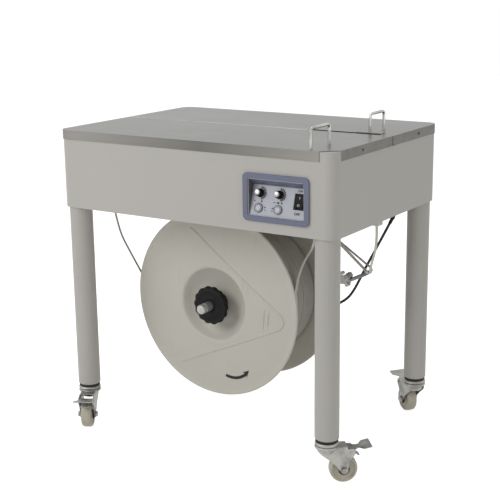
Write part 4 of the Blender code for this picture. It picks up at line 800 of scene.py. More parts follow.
def add_bead(bm, path, place, width, height):
    """A half-round strip along a flat path on the web. Both its ends fade into the web."""
    last = len(path) - 1
    rows = []
    for i, point in enumerate(path):
        along = (path[min(i + 1, last)] - path[max(i - 1, 0)]).normalized()
        across = Vector((-along.y, along.x))
        fade = min(1.0, i / 4, (last - i) / 4)
        section = []
        for k in range(9):
            share = -1 + 2 * k / 8
            rise = height * fade * (1 - share * share) ** 0.8 if abs(share) < 1 else 0.0
            section.append((share, rise - BEAD_SINK))
        section += [(1, -BEAD_SINK - BEAD_UNDER), (-1, -BEAD_SINK - BEAD_UNDER)]
        row = []
        for share, rise in section:
            spot = point + across * (width / 2 * share)
            row.append(bm.verts.new(place @ Vector((spot.x, spot.y, web_height(spot.length) + rise))))
        rows.append(row)
    return skin(bm, rows)


print("bead route", len(bead_route(0.212, 0.021, -6.0)), "points")

# %% [markdown]
# The arrow that shows which way the band leaves is printed near the rim. It is a thin curved
# slab with a pointed head, draped over the web so that it is a shape of its own.

# %% Both flanges
def curved_arrow(centre, radius, start, end, wide, head):
    """Outline of an arrow along an arc: an even stroke, then a head with swept barbs."""
    turn = math.degrees(head / radius)
    outer = bow(centre, radius + wide / 2, start, end, 16)
    inner = bow(centre, radius - wide / 2, start, end, 16)
    barbs = [polar(centre, radius - 0.58 * head, end - 0.3 * turn), polar(centre, radius, end + turn),
             polar(centre, radius + 0.58 * head, end - 0.3 * turn)]
    return inner + barbs + outer[::-1]


def build_flange(name, place, node):
    bm = bmesh.new()
    section = [(radius, -depth) for radius, depth in flange_section()]
    add_turned(bm, section, place, 192, ring=True)
    add_bead(bm, bead_route(0.212, 0.021, -6.0), place, 0.0092, 0.0026)
    for top, foot in (((0.1422, 0.0167), (0.1367, -0.0520)), ((0.1544, 0.0135), (0.1481, -0.0477))):
        bar = [Vector(top).lerp(Vector(foot), k / 12) for k in range(13)]
        add_bead(bm, bar, place, 0.0046, 0.0023)
    return settle(bm, name, "reel", [REEL_PLASTIC], [node], 30.0)


on_front_flange = facing_out(REEL_X, REEL_FRONT, REEL_Z)
build_flange("reel_flange_front", on_front_flange, "front_flange")
behind = Matrix.Translation((REEL_X, REEL_BACK, REEL_Z)) @ Matrix.Rotation(-math.pi / 2, 4, "X")
build_flange("reel_flange_rear", behind, "rear_flange")

bm = bmesh.new()
arrow = curved_arrow((0.0476, -0.1204), 0.0574, start=-108.0, end=-47.0, wide=0.0070, head=0.0136)
add_slab(bm, arrow, -0.0004, 0.0008)
bmesh.ops.triangulate(bm, faces=bm.faces)
for vertex in bm.verts:
    vertex.co.z += web_height(vertex.co.xy.length)
bm.transform(on_front_flange)
settle(bm, "feed_arrow", "reel", [BLACK_INK])

# %% [markdown]
# Between the flanges lies the band itself: fourteen rows side by side, wound so tightly that
# only the top layer shows, with a hairline between rows. The tree below winds one hoop for each
# row and gives every hoop a slightly different size, as hand-fed coils have.

# %% The wound band
def wound_band(finish):
    growth = Growth("wound_band")
    rows = growth.number("Rows", 14, whole=True)
    pitch = growth.number("Pitch", 0.0126)
    radius = growth.number("Radius", 0.168)
    wide = growth.number("Band width", 0.0121)
    wander = growth.number("Wander", 0.0008)
    hoop = growth.node("GeometryNodeCurvePrimitiveCircle", sockets={"Resolution": 144, "Radius": radius})
    section = growth.node("GeometryNodeCurvePrimitiveQuadrilateral",
                          sockets={"Width": 0.0030, "Height": wide})
    turned = growth.node("GeometryNodeCurveToMesh", sockets={0: hoop, "Profile Curve": section})
    points = growth.node("GeometryNodePoints", sockets={"Count": rows})
    index = growth.node("GeometryNodeInputIndex")
    along = growth.maths("MULTIPLY", pitch, growth.maths("SUBTRACT", index, growth.maths(
        "DIVIDE", growth.maths("SUBTRACT", rows, 1.0), 2.0)))
    drift = growth.node("FunctionNodeRandomValue", {"data_type": "FLOAT"},
                        {2: 0.0, 3: wander, "ID": index, "Seed": 7}, output=1)
    lined = growth.node("GeometryNodeSetPosition", sockets={0: points, "Position": growth.node(
        "ShaderNodeCombineXYZ", sockets={2: along})})
    scale = growth.maths("SUBTRACT", 1.0, growth.maths("DIVIDE", drift, radius))
    sized = growth.node("ShaderNodeCombineXYZ", sockets={0: scale, 1: scale, 2: 1.0})
    on_points = growth.node("GeometryNodeInstanceOnPoints", sockets={
        0: lined, "Instance": turned, "Scale": sized})
    return growth.close(on_points, finish)


COIL_PLACE = facing_out(REEL_X, -0.005, REEL_Z)
BAND_PITCH = 0.01265
HALF_COIL = 0.0880
hoops = grow(wound_band(SHADED_WOUND_BAND), {"Rows": 14, "Pitch": BAND_PITCH, "Radius": 0.1668,
                                      "Band width": 0.0121, "Wander": 0.0009}, "wound_hoops")
hoops.transform(COIL_PLACE)
bm = bmesh.new()
bm.from_mesh(hoops)
add_turned(bm, [(0.0951, -HALF_COIL), (0.1660, -HALF_COIL), (0.1660, HALF_COIL), (0.0951, HALF_COIL)],
           COIL_PLACE, 144, ring=True)
settle(bm, "wound_band", "reel", [SHADED_WOUND_BAND], ["strap_coil"])

# %% [markdown]
# ## The hand nut
#
# A black moulded nut clamps the reel on its shaft. Its rim is scalloped for the fingers, its
# flat face carries fine radial ribs, and the shaft's end comes through the middle. The rim is
# one turned body with a wave in its radius, which is simpler than cutting scallops out.

# %% Hand nut
NUT_FACE = 0.1254
LOBES = 14
LOBE_WAVE = 0.0013


def add_waved(bm, rows, place, steps=280):
    """Turns (radius, height, share of the wave) rows whose radius ripples round the axis."""
    loops = []
    for radius, height, share in rows:
        loop = []
        for i in range(steps):
            a = 2 * math.pi * i / steps
            reach = radius + LOBE_WAVE * share * math.cos(LOBES * a)
            loop.append(bm.verts.new(place @ Vector((reach * math.cos(a), reach * math.sin(a), height))))
        loops.append(loop)
    return skin(bm, loops + loops[:1], ends=False)


bm = bmesh.new()
on_shaft = facing_out(REEL_X, 0.0, REEL_Z)
add_waved(bm, [(0.0122, 0.1100, 0), (0.0122, 0.1230, 0), (0.0150, 0.1250, 0), (0.0215, 0.1256, 0),
               (0.0300, NUT_FACE, 0.1), (0.0380, 0.1250, 0.4), (0.0425, 0.1242, 0.9), (0.0445, 0.1228, 1),
               (0.0455, 0.1206, 1), (0.0455, 0.1140, 1), (0.0447, 0.1118, 1), (0.0425, 0.1100, 0.8),
               (0.0340, 0.1080, 0.1), (0.0245, 0.1050, 0), (0.0235, 0.0806, 0), (0.0195, 0.0806, 0),
               (0.0195, 0.0995, 0)], on_shaft)
settle(bm, "hand_nut", "lock_nut", [BLACK], ["lock_nut"])

ribs = grow(BLACK_RING, {"Count": 48, "Radius": 0.0310, "Out": 0.0100, "Across": 0.0008,
                         "High": 0.0008}, "nut_face_ribs")
ribs.transform(facing_out(REEL_X, -NUT_FACE, REEL_Z))
settle_mesh(ribs, "nut_face_ribs", "lock_nut", [BLACK])

# %% [markdown]
# The shaft's end is plain turned steel with a flat face and a small chamfer. It carries a faint
# groove where a spring clip would sit. The collars behind it seat the reel on the machine.

# %% Shaft
bm = bmesh.new()
add_turned(bm, [(0.0, 0.1620), (0.0092, 0.1620), (0.0103, 0.1614), (0.0112, 0.1600), (0.0112, 0.1490),
                (0.0107, 0.1486), (0.0107, 0.1474), (0.0112, 0.1470), (0.0112, 0.1180), (0.0125, -0.1050),
                (0.0175, -0.1050), (0.0180, -0.1055), (0.0180, -0.1147), (0.0125, -0.1147),
                (0.0125, -0.1233), (0.0200, -0.1233), (0.0200, -0.1345), (0.0195, -0.1350),
                (0.0125, -0.1350), (0.0125, -0.1580), (0.0105, -0.1600), (0.0, -0.1600)], on_shaft, 72)
settle(bm, "reel_shaft", "frame", [TURNED], ["reel_axle"])

# %% [markdown]
# ## Wheels and casters
#
# Each leg stands on a swivel caster with a foot brake. The wheels are solid nylon with a
# slightly crowned tread and a recessed web. The swivel head runs on two rows of balls between
# bright races, and a black thread guard fills the gap beside the hub.

# %% Caster places
LEG_X = 0.337
LEG_Y = 0.2255
CORNERS = {
    "front_left": (-LEG_X, -LEG_Y, -61.0), "front_right": (LEG_X, -LEG_Y, 40.0),
    "rear_left": (-LEG_X, LEG_Y, 130.0), "rear_right": (LEG_X, LEG_Y, 141.0),
}
WHEEL_U = 0.036
WHEEL_Z = 0.0315


def caster_place(corner):
    x, y, turn = CORNERS[corner]
    return Matrix.Translation((x, y, 0.0)) @ Matrix.Rotation(math.radians(turn), 4, "Z")


def sideways(u, z):
    """A place on a caster whose local Z runs along the wheel's axle."""
    return Matrix.Translation((u, 0.0, z)) @ Matrix.Rotation(-math.pi / 2, 4, "X")


def tipped(u, z, degrees):
    """A place on a caster that is turned about a line beside the axle, as a pedal is."""
    return Matrix.Translation((u, 0, z)) @ Matrix.Rotation(math.radians(degrees), 4, "Y")


print("casters", list(CORNERS))

# %% Wheels
HALF_WHEEL = 0.0130


def build_wheel(corner):
    bm = bmesh.new()
    side = [(0.0046, 0.0), (0.0096, 0.0), (0.0104, 0.0006), (0.0116, 0.0032), (0.0130, 0.0038),
            (0.0222, 0.0038), (0.0238, 0.0030), (0.0248, 0.0012), (0.0262, 0.0006), (0.0284, 0.0010),
            (0.0302, 0.0026), (0.0311, 0.0050), (0.0315, 0.0085)]
    side = [(radius, HALF_WHEEL - inset) for radius, inset in side]
    add_turned(bm, side + [(r, -z) for r, z in reversed(side)],
               caster_place(corner) @ sideways(WHEEL_U, WHEEL_Z), 96, ring=True)
    return settle(bm, "wheel_tread_" + corner, "wheel_" + corner, [NYLON], ["wheel_" + corner])


for corner in CORNERS:
    build_wheel(corner)

# %% [markdown]
# A caster's head is pressed from sheet. It is drawn as the turned races with the bowl under
# them, the folded saddle with a round shoulder on each side, and the two cheeks that come down
# to the axle. The saddle and cheeks are one pressing on the real thing, so they share a finish
# and overlap inside each other here. A rivet through each cheek is what the pedal hinges on.

# %% Caster heads
CHEEK_Y = 0.0175
CHEEK_HALF = 0.0010
SADDLE_Z = 0.0818
RACES = [(0.0, 0.0668), (0.0120, 0.0670), (0.0168, 0.0684), (0.0205, 0.0730), (0.0228, 0.0786),
         (0.0243, 0.0806), (0.0262, 0.0816), (0.0270, 0.0832), (0.0270, 0.0856), (0.0262, 0.0872),
         (0.0246, 0.0878), (0.0239, 0.0884), (0.0239, 0.0892), (0.0247, 0.0899), (0.0262, 0.0906),
         (0.0267, 0.0920), (0.0265, 0.0937), (0.0252, 0.0954), (0.0232, 0.0964), (0.0205, 0.0966),
         (0.0192, 0.0960), (0.0180, 0.0966), (0.0068, 0.0966), (0.0068, 0.0835), (0.0, 0.0835)]
CHEEK = [(-0.0185, 0.0812), (0.0560, 0.0800), (0.0590, 0.0770), (0.0592, 0.0680), (0.0560, 0.0630),
         (0.0510, 0.0590), (0.0475, 0.0530), (0.0455, 0.0460)]
CHEEK += bow((WHEEL_U, WHEEL_Z), 0.0088, -20.0, -160.0, 14)
CHEEK += [(0.0215, 0.0385), (0.0150, 0.0455), (0.0065, 0.0535), (-0.0035, 0.0615), (-0.0140, 0.0695),
          (-0.0182, 0.0740)]


def saddle_section():
    """Half round shoulders joined over the top, as (y, z) points."""
    left, right = (-0.0147, SADDLE_Z), (0.0147, SADDLE_Z)
    outer = bow(left, 0.0040, 180.0, 90.0, 6) + bow(right, 0.0040, 90.0, 0.0, 6)
    inner = bow(right, 0.0022, 0.0, 90.0, 6) + bow(left, 0.0022, 90.0, 180.0, 6)
    return [(-0.0187, 0.0797)] + outer + [(0.0187, 0.0797), (0.0169, 0.0797)] + inner + [(-0.0169, 0.0797)]


def build_head(corner):
    bm = bmesh.new()
    place = caster_place(corner)
    add_turned(bm, RACES, place, 72)
    upright = Matrix.Rotation(math.pi / 2, 4, "X")
    for side in (-1, 1):
        on_side = place @ Matrix.Translation((0, side * CHEEK_Y, 0)) @ upright
        add_slab(bm, CHEEK, -CHEEK_HALF, CHEEK_HALF, on_side, 0, 0.0005)
    add_slab(bm, saddle_section(), 0.0, 0.0435, place @ ACROSS, 0, 0.0004)
    for side in (-1, 1):
        add_turned(bm, [(0.0, side * 0.0206), (0.0026, side * 0.0204), (0.0034, side * 0.0194),
                        (0.0034, side * 0.0185), (0.0, side * 0.0185)],
                   place @ sideways(0.0525, 0.0715), 20)
    return settle(bm, "caster_head_" + corner, "caster_" + corner, [ZINC], ["fork_" + corner],
                  32.0)


for corner in CORNERS:
    build_head(corner)

# %% [markdown]
# The axle is a bolt with a washer and a domed end on each side. Black discs beside the hub keep
# thread and string out of it, and a dark ring between the races and the leg is painted shade for
# the gap there. All of them are turned.

# %% Axle bolts, thread guards and painted gap shade
def build_axle(corner):
    bm = bmesh.new()
    place = caster_place(corner) @ sideways(WHEEL_U, WHEEL_Z)
    add_turned(bm, [(0.0, -0.0186), (0.0039, -0.0186), (0.0039, 0.0186), (0.0, 0.0186)], place, 24)
    add_turned(bm, [(0.0, 0.0188), (0.0080, 0.0188), (0.0082, 0.0192), (0.0082, 0.0198), (0.0078, 0.0200),
                    (0.0066, 0.0202), (0.0066, 0.0225), (0.0058, 0.0238), (0.0040, 0.0246),
                    (0.0, 0.0249)], place, 32)
    add_turned(bm, [(0.0, -0.0188), (0.0080, -0.0188), (0.0082, -0.0192), (0.0082, -0.0200),
                    (0.0, -0.0200)], place, 32)
    add_turned(bm, [(0.0, -0.0198), (0.0066, -0.0198), (0.0068, -0.0206), (0.0068, -0.0222),
                    (0.0060, -0.0237), (0.0042, -0.0246), (0.0022, -0.0249), (0.0, -0.0250)], place, 32)
    return settle(bm, "axle_bolt_" + corner, "caster_" + corner, [ZINC], ["axle_" + corner],
                  28.0)


def build_guards(corner):
    bm = bmesh.new()
    place = caster_place(corner) @ sideways(WHEEL_U, WHEEL_Z)
    for side in (-1, 1):
        add_turned(bm, [(0.0045, side * 0.0134), (0.0118, side * 0.0134), (0.0124, side * 0.0140),
                        (0.0118, side * 0.0154), (0.0045, side * 0.0158)], place, 40, ring=True)
    return settle(bm, "thread_guards_" + corner, "caster_" + corner, [BLACK])


def build_gap_shade(corner):
    bm = bmesh.new()
    # painted shade: a dark ring fills the gap between the races and the leg
    add_turned(bm, [(0.0192, 0.0969), (0.0243, 0.0969), (0.0251, 0.0978), (0.0246, 0.0990),
                    (0.0246, 0.0998), (0.0253, 0.1006), (0.0251, 0.1014), (0.0192, 0.1014)],
               caster_place(corner), 60, ring=True)
    return settle(bm, "foot_gap_shade_" + corner, "frame", [SHADOW_GAP])


for corner in CORNERS:
    build_axle(corner)
    build_guards(corner)
    build_gap_shade(corner)

# %% [markdown]
# The brake pedal is a sheet lever: broad between the cheeks, waisted outside them, then a wide
# foot tab that tips upwards. The pronged tongue below it is what the foot lifts to let the brake
# off, and the block inside the cheeks is what presses on the tread.

# %% Brake pedals
PEDAL_PIVOT = (0.051, 0.0715)
LEVER = mirrored([(-0.0040, -0.0152), (0.0090, -0.0152), (0.0120, -0.0128), (0.0145, -0.0092),
                  (0.0195, -0.0082), (0.0225, -0.0095), (0.0285, -0.0215), (0.0300, -0.0225),
                  (0.0462, -0.0232), (0.0480, -0.0218)])
TONGUE = mirrored([(0.0030, -0.0095), (0.0150, -0.0088), (0.0195, -0.0110), (0.0232, -0.0080),
                   (0.0222, 0.0)])


def build_pedal(corner):
    bm = bmesh.new()
    place = caster_place(corner)
    add_turned(bm, [(0.0, -0.0162), (0.0050, -0.0162), (0.0055, -0.0156), (0.0055, 0.0156), (0.0050, 0.0162),
                    (0.0, 0.0162)], place @ sideways(*PEDAL_PIVOT), 32)
    raised = place @ tipped(*PEDAL_PIVOT, -12)
    add_slab(bm, LEVER, 0.0025, 0.0049, raised, 0, 0.0007)
    for y in (-0.0105, 0.0105):
        add_box(bm, (0.0, y - 0.0009, 0.0045), (0.0110, y + 0.0009, 0.0056), raised, 0, 0.0003)
    add_slab(bm, TONGUE, -0.0012, 0.0010, place @ tipped(*PEDAL_PIVOT, 27), 0, 0.0005)
    add_box(bm, (0.0330, -0.0090, -0.0048), (0.0418, 0.0090, 0.0048),
            place @ tipped(WHEEL_U, WHEEL_Z, -58), 0, 0.0008)
    return settle(bm, "foot_pedal_" + corner, "pedal_" + corner, [ZINC], ["pedal_" + corner],
                  32.0)


for corner in CORNERS:
    build_pedal(corner)

# %% [markdown]
# ## The control panel
#
# The panel leans back inside a blue-grey moulding, out of reach of a passing carton. Its upper
# wall slopes down to the plate. Two knobs set tension and feed, with dashed dials printed beside
# them. Below them are two push buttons in raised rings, and a rocker switch stands at the right.

# %% Panel places and text
PANEL_LEAN = math.atan2(0.024, 0.0805)
ON_PANEL = (Matrix.Translation((0.0, -0.256, 0.586))
            @ Matrix.Rotation(math.pi / 2 - PANEL_LEAN, 4, "X"))
KNOB_X = (0.184, 0.232)
KNOB_UP = 0.049
SIGNS_UP = 0.0318
BUTTON_UP = 0.017
SWITCH_SPOT = (0.2815, 0.0385)
INK_PROUD = 0.00025
INK_CLEAR = 0.00005


def panel_spot(x, up, out=0.0):
    return ON_PANEL @ Matrix.Translation((x, up, out))


def lettering(words, tall, place, finish, name):
    """Letters as thin solids that lie on a surface."""
    font = bpy.data.curves.new(name, "FONT")
    font.body = words
    font.size = tall
    font.align_x = "CENTER"
    font.align_y = "CENTER"
    font.extrude = INK_PROUD / 2
    font.offset = 0.02 * tall
    font.resolution_u = 3
    holder = bpy.data.objects.new(name, font)
    bpy.context.scene.collection.objects.link(holder)
    ready = holder.evaluated_get(bpy.context.evaluated_depsgraph_get())
    mesh = bpy.data.meshes.new_from_object(ready)
    bpy.data.objects.remove(holder)
    mesh.transform(place @ Matrix.Translation((0, 0, INK_PROUD / 2 + INK_CLEAR)))
    return settle_mesh(mesh, name, "frame", [finish])


lettering("ON", 0.0066, panel_spot(0.2790, 0.0610), BLACK_INK, "mark_on")
lettering("OFF", 0.0080, panel_spot(0.2785, 0.0126), BLACK_INK, "mark_off")

# %% [markdown]
# The recess has a sloping hood above the plate, and its far side wall is painted dark grey for the
# shade there. Each push button stands in two rings, a pale one inside a darker one, and four bars
# frame the switch.

# %% Recess, button rings and switch frame
def settle_across(name, outline, left, right, finish, soften):
    """Makes a piece with a (y, z) outline that reaches from left to right."""
    bm = bmesh.new()
    add_slab(bm, outline, left, right, ACROSS, 0, soften)
    return settle(bm, name, "frame", [finish])


settle_across("recess_hood", [(-0.2572, 0.6660), (-0.2560, 0.6645), (-0.2378, 0.6502), (-0.2362, 0.6502),
                              (-0.2330, 0.6640), (-0.2330, 0.6648), (-0.2560, 0.6648)],
              0.1624, 0.2976, BEZEL, 0.0003)
# painted shade: this side wall is dark for the shade inside the recess
settle_across("recess_side", [(-0.2568, 0.5885), (-0.2548, 0.5885), (-0.2372, 0.6478), (-0.2385, 0.6498),
                              (-0.2552, 0.6634), (-0.2568, 0.6640)],
              0.1622, 0.1632, RING_GREY_AND_WALL_SHADE, 0.0002)

bm = bmesh.new()
for x in KNOB_X:
    add_turned(bm, [(0.0071, 0.0002), (0.0090, 0.0002), (0.0090, 0.0022), (0.0083, 0.0027),
                    (0.0076, 0.0025), (0.0071, 0.0018)], panel_spot(x, BUTTON_UP), 48, ring=True)
    add_turned(bm, [(0.0088, 0.0002), (0.0100, 0.0002), (0.0102, 0.0010), (0.0099, 0.0026), (0.0092, 0.0030),
                    (0.0088, 0.0024)], panel_spot(x, BUTTON_UP), 48, 1, ring=True)
settle(bm, "button_rings", "frame", [BUTTON, RING_GREY_AND_WALL_SHADE])

settle_boxes("switch_frame", "frame", BLACK, [
    ((-0.0130, -0.0170, 0.0001), (-0.0106, 0.0170, 0.0022)),
    ((0.0106, -0.0170, 0.0001), (0.0130, 0.0170, 0.0022)),
    ((-0.0108, 0.0146, 0.0001), (0.0108, 0.0170, 0.0022)),
    ((-0.0108, -0.0170, 0.0001), (0.0108, -0.0146, 0.0022))], panel_spot(*SWITCH_SPOT), 0.0005)

# %% [markdown]
# The dial dashes are a ring of small printed blocks, grown round each knob with the ring tree.
# Minus and plus stand under the left and right of each knob, and small arrowheads beside them.

# %% Dials and signs
INK_LOW = 0.0001
INK_HIGH = 0.0004
HALF_STROKE = 0.0007

for name, x in zip(("tension", "feed"), KNOB_X):
    dashes = grow(INK_RING, {"Count": 9, "Radius": 0.0124, "Start": math.radians(-72.0),
                             "Sweep": math.radians(178.0), "Out": 0.0040, "Across": 0.0025,
                             "High": 0.0003}, name + "_dial")
    dashes.transform(panel_spot(x, KNOB_UP, 0.0003))
    settle_mesh(dashes, name + "_dial", "frame", [BLACK_INK])


def add_sign(bm, x, up, reach, upright):
    """A minus, or with its upright a plus."""
    add_box(bm, (x - reach, up - HALF_STROKE, INK_LOW), (x + reach, up + HALF_STROKE, INK_HIGH), ON_PANEL)
    if upright:
        add_box(bm, (x - HALF_STROKE, up - reach, INK_LOW), (x + HALF_STROKE, up + reach, INK_HIGH), ON_PANEL)


bm = bmesh.new()
for x, plus_at in zip(KNOB_X, (0.0050, 0.0066)):
    add_sign(bm, x - 0.0122, SIGNS_UP, 0.0023, False)
    add_sign(bm, x + plus_at, SIGNS_UP, 0.0023, True)
add_slab(bm, [(0.2248, -0.0004), (0.2320, -0.0021), (0.2320, 0.0021), (0.2248, 0.0004)], INK_LOW, INK_HIGH,
         panel_spot(0.0, SIGNS_UP))
for x, turn in ((KNOB_X[0] + 0.0157, 1), (KNOB_X[1] - 0.0150, -1)):
    tip, back = x + 0.0020 * turn, x - 0.0020 * turn
    add_slab(bm, [(tip, 0.0190), (back, 0.0210), (back, 0.0170)][::turn], INK_LOW, INK_HIGH, ON_PANEL)
    add_sign(bm, x, 0.0135, 0.0020, False)
settle(bm, "panel_signs", "frame", [BLACK_INK])

# %% [markdown]
# A knob is a black skirt and a slim grip with fine flutes, and a bright spun cap on top. The
# flutes come from the ring tree. A white line on the skirt shows where the knob points. The
# rocker carries a white bar for on and a ring for off.

# %% Knobs and rocker marks
def build_knob(name, x):
    bm = bmesh.new()
    place = panel_spot(x, KNOB_UP)
    add_turned(bm, [(0.0, -0.0068), (0.0029, -0.0068), (0.0029, 0.0004), (0.0090, 0.0004), (0.0094, 0.0010),
                    (0.0094, 0.0022), (0.0088, 0.0030), (0.0078, 0.0034), (0.0072, 0.0118), (0.0068, 0.0128),
                    (0.0062, 0.0130), (0.0, 0.0130)], place, 64)
    add_turned(bm, [(0.0, 0.0126), (0.0057, 0.0126), (0.0060, 0.0130), (0.0060, 0.0164), (0.0054, 0.0174),
                    (0.0040, 0.0179), (0.0, 0.0180)], place, 48, finish=1)
    add_box(bm, (-0.0006, 0.0062, 0.0050), (0.0006, 0.0076, 0.0124), place, 2, 0.0002)
    settle(bm, name + "_cap", name, [BLACK, POLISHED, WHITE_INK], [name], 30.0)
    flutes = grow(BLACK_RING, {"Count": 32, "Radius": 0.00755, "Out": 0.0012, "Across": 0.0006,
                               "High": 0.0075}, name + "_flutes")
    flutes.transform(place @ Matrix.Translation((0, 0, 0.0078)))
    settle_mesh(flutes, name + "_flutes", name, [BLACK])


for name, x in zip(("tension_knob", "feed_knob"), KNOB_X):
    build_knob(name, x)

on_rocker = panel_spot(*SWITCH_SPOT, -0.001) @ Matrix.Rotation(math.radians(-7.0), 4, "X")
settle_boxes("rocker_bar", "power_rocker", WHITE_INK,
             [((-0.0006, 0.0055, 0.0048), (0.0006, 0.0105, 0.00535))], on_rocker)
bm = bmesh.new()
ring_place = on_rocker @ Matrix.Translation((0.0, -0.0080, 0.0048))
add_turned(bm, [(0.0018, 0.0), (0.0026, 0.0), (0.0026, 0.0005), (0.0018, 0.0005)], ring_place, 24, ring=True)
settle(bm, "rocker_ring", "power_rocker", [WHITE_INK])

# %% [markdown]
# ## The table's details
#
# Two polished loops stand on the table and keep the carton off the band's slot. The top is two
# folded trays that meet in a seam, with their edges just rolled over. Thin black strips line the
# slot's walls as painted shade for its dark inside, and the trays' right-hand skirts meet in a
# narrow joint.

# %% Guide loops, seam and the slot's painted shade
GUIDE_X = 0.3055
GUIDE_CROWN = 0.7782
GUIDE_FOOT = 0.7285
GUIDE_BEND = 0.0085


def build_loop(name, first, last, node):
    bm = bmesh.new()
    near = bow((first + GUIDE_BEND, GUIDE_CROWN - GUIDE_BEND), GUIDE_BEND, 180.0, 90.0, 12)
    far = bow((last - GUIDE_BEND, GUIDE_CROWN - GUIDE_BEND), GUIDE_BEND, 90.0, 0.0, 12)
    route = [(first, GUIDE_FOOT)] + near + far + [(last, GUIDE_FOOT)]
    add_tube(bm, [(GUIDE_X, y, z) for y, z in route], 0.0034, steps=20)
    return settle(bm, name, "frame", [POLISHED], [node], 40.0)


build_loop("carton_guide_front", -0.2425, -0.1640, "front_guide_loop")
build_loop("carton_guide_rear", 0.0245, 0.0930, "rear_guide_loop")

bm = bmesh.new()
for y in (0.0083, 0.0097):
    add_tube(bm, [(-0.3670, y, 0.7347), (0.1540, y, 0.7347)], 0.0009, steps=10)
settle(bm, "seam_rolls", "frame", [TURNED])
settle_boxes("skirt_joint", "frame", BLACK, [
    ((0.3675, 0.0087, 0.7135), (0.3692, 0.0104, 0.7340)),
    ((0.3675, 0.0104, 0.7135), (0.3692, 0.0190, 0.7146))])
# painted shade: black strips on the slot's walls stand for the shade inside it
settle_boxes("slot_painted_shade", "frame", BLACK, [
    ((0.1555, 0.0088, 0.7215), (0.3365, 0.0099, 0.7353)),
    ((0.1555, 0.0191, 0.7215), (0.3365, 0.0202, 0.7353)),
    ((0.1553, 0.0093, 0.7215), (0.1560, 0.0197, 0.7352))])

# %% [markdown]
# Pan-head screws hold the skirts to the cabinet. They come from a tree that sets a screw on each
# point of a line: the foot of a cone, with a thin bar across it where the driver goes.

# %% Skirt screws
def row_of_screws(finish):
    growth = Growth("row_of_screws")
    count = growth.number("Count", 2, whole=True)
    pitch = growth.number("Pitch", 0.2)
    head = growth.number("Head radius", 0.0034)
    proud = growth.number("Proud", 0.0016)
    line = growth.node("GeometryNodeMeshLine", sockets={
        "Count": count, "Offset": growth.node("ShaderNodeCombineXYZ", sockets={0: pitch})})
    dome = growth.node("GeometryNodeMeshCone", sockets={
        "Vertices": 20, "Side Segments": 2, "Radius Top": growth.maths("MULTIPLY", head, 0.62),
        "Radius Bottom": head, "Depth": proud})
    bar = growth.node("GeometryNodeMeshCube", sockets={"Size": growth.node("ShaderNodeCombineXYZ", sockets={
        0: growth.maths("MULTIPLY", head, 0.9), 1: growth.maths("MULTIPLY", head, 0.22),
        2: growth.maths("MULTIPLY", proud, 0.5)})})
    raised = growth.node("GeometryNodeTransform", sockets={0: bar, "Translation": growth.node(
        "ShaderNodeCombineXYZ", sockets={2: proud})})
    joined = growth.group.nodes.new("GeometryNodeJoinGeometry")
    growth.group.links.new(dome, joined.inputs[0])
    growth.group.links.new(raised, joined.inputs[0])
    on_points = growth.node("GeometryNodeInstanceOnPoints", sockets={0: line, "Instance": joined.outputs[0]})
    return growth.close(on_points, finish)


SCREWS = row_of_screws(BLACKENED)
SCREW_UP = 0.7236
RIGHT = math.pi / 2
LEFT = -math.pi / 2
BACK = math.pi
for name, place, pitch, count in (
        ("skirt_screws_right", facing_out(0.3691, -0.132, SCREW_UP, RIGHT), 0.2776, 2),
        ("skirt_screws_left", facing_out(-0.3691, 0.1456, SCREW_UP, LEFT), 0.2776, 2),
        ("skirt_screws_back", facing_out(0.260, 0.2576, SCREW_UP, BACK), 0.260, 3)):
    heads = grow(SCREWS, {"Count": count, "Pitch": pitch}, name)
    heads.transform(place)
    settle_mesh(heads, name, "frame", [BLACKENED])

# %% [markdown]
# ## The band on its way to the slot
#
# The band leaves the coil, passes over the guide roller, round the pin of the brake arm and up
# into the cabinet. Each run is a thin ribbon. The run round the arm's pin is made without a body,
# and its place is baked into its mesh.

# %% Ribbons of band
BAND_THICK = 0.0008
BAND_Y = -0.004
ARM_PIN = (0.197, 0.507)
TENSION_PIN = (0.3210, 0.4235)
REEL_SPOT = (REEL_X, REEL_Z)
COIL_TOP = 0.1687


def add_ribbon(bm, route, y, wide=0.012):
    """A flat strip that runs along an (x, z) route, with its width along Y."""
    path = [Vector(p) for p in route]
    rows = []
    for i, point in enumerate(path):
        along = (path[min(i + 1, len(path) - 1)] - path[max(i - 1, 0)]).normalized()
        out = Vector((-along.y, along.x)) * BAND_THICK / 2
        rows.append([bm.verts.new((p.x, y + side * wide / 2, p.y)) for p, side in (
            (point + out, -1), (point + out, 1), (point - out, 1), (point - out, -1))])
    return skin(bm, rows)


def flat_route(points, per_span=6):
    return [(p.x, p.z) for p in smooth_path([(x, 0.0, z) for x, z in points], per_span)]


reel_run = flat_route([polar(REEL_SPOT, COIL_TOP, a) for a in (-4.0, 2.0, 8.0)]
                      + [(0.1385, 0.392), (0.1545, 0.4290), (0.1740, 0.4620)]
                      + [polar(ARM_PIN, 0.0112, a) for a in (168.0, 143.0, 117.0, 92.0)])
bm = bmesh.new()
add_ribbon(bm, reel_run, BAND_Y)
settle(bm, "band_from_reel", "frame", [BAND], ["strap_reel_run"], 60.0)

# %% [markdown]
# A ribbon bends well only if it has enough points, so the long straight lengths of the run round
# the arm are cut into pieces of about 6 mm. The piece is made without a body.

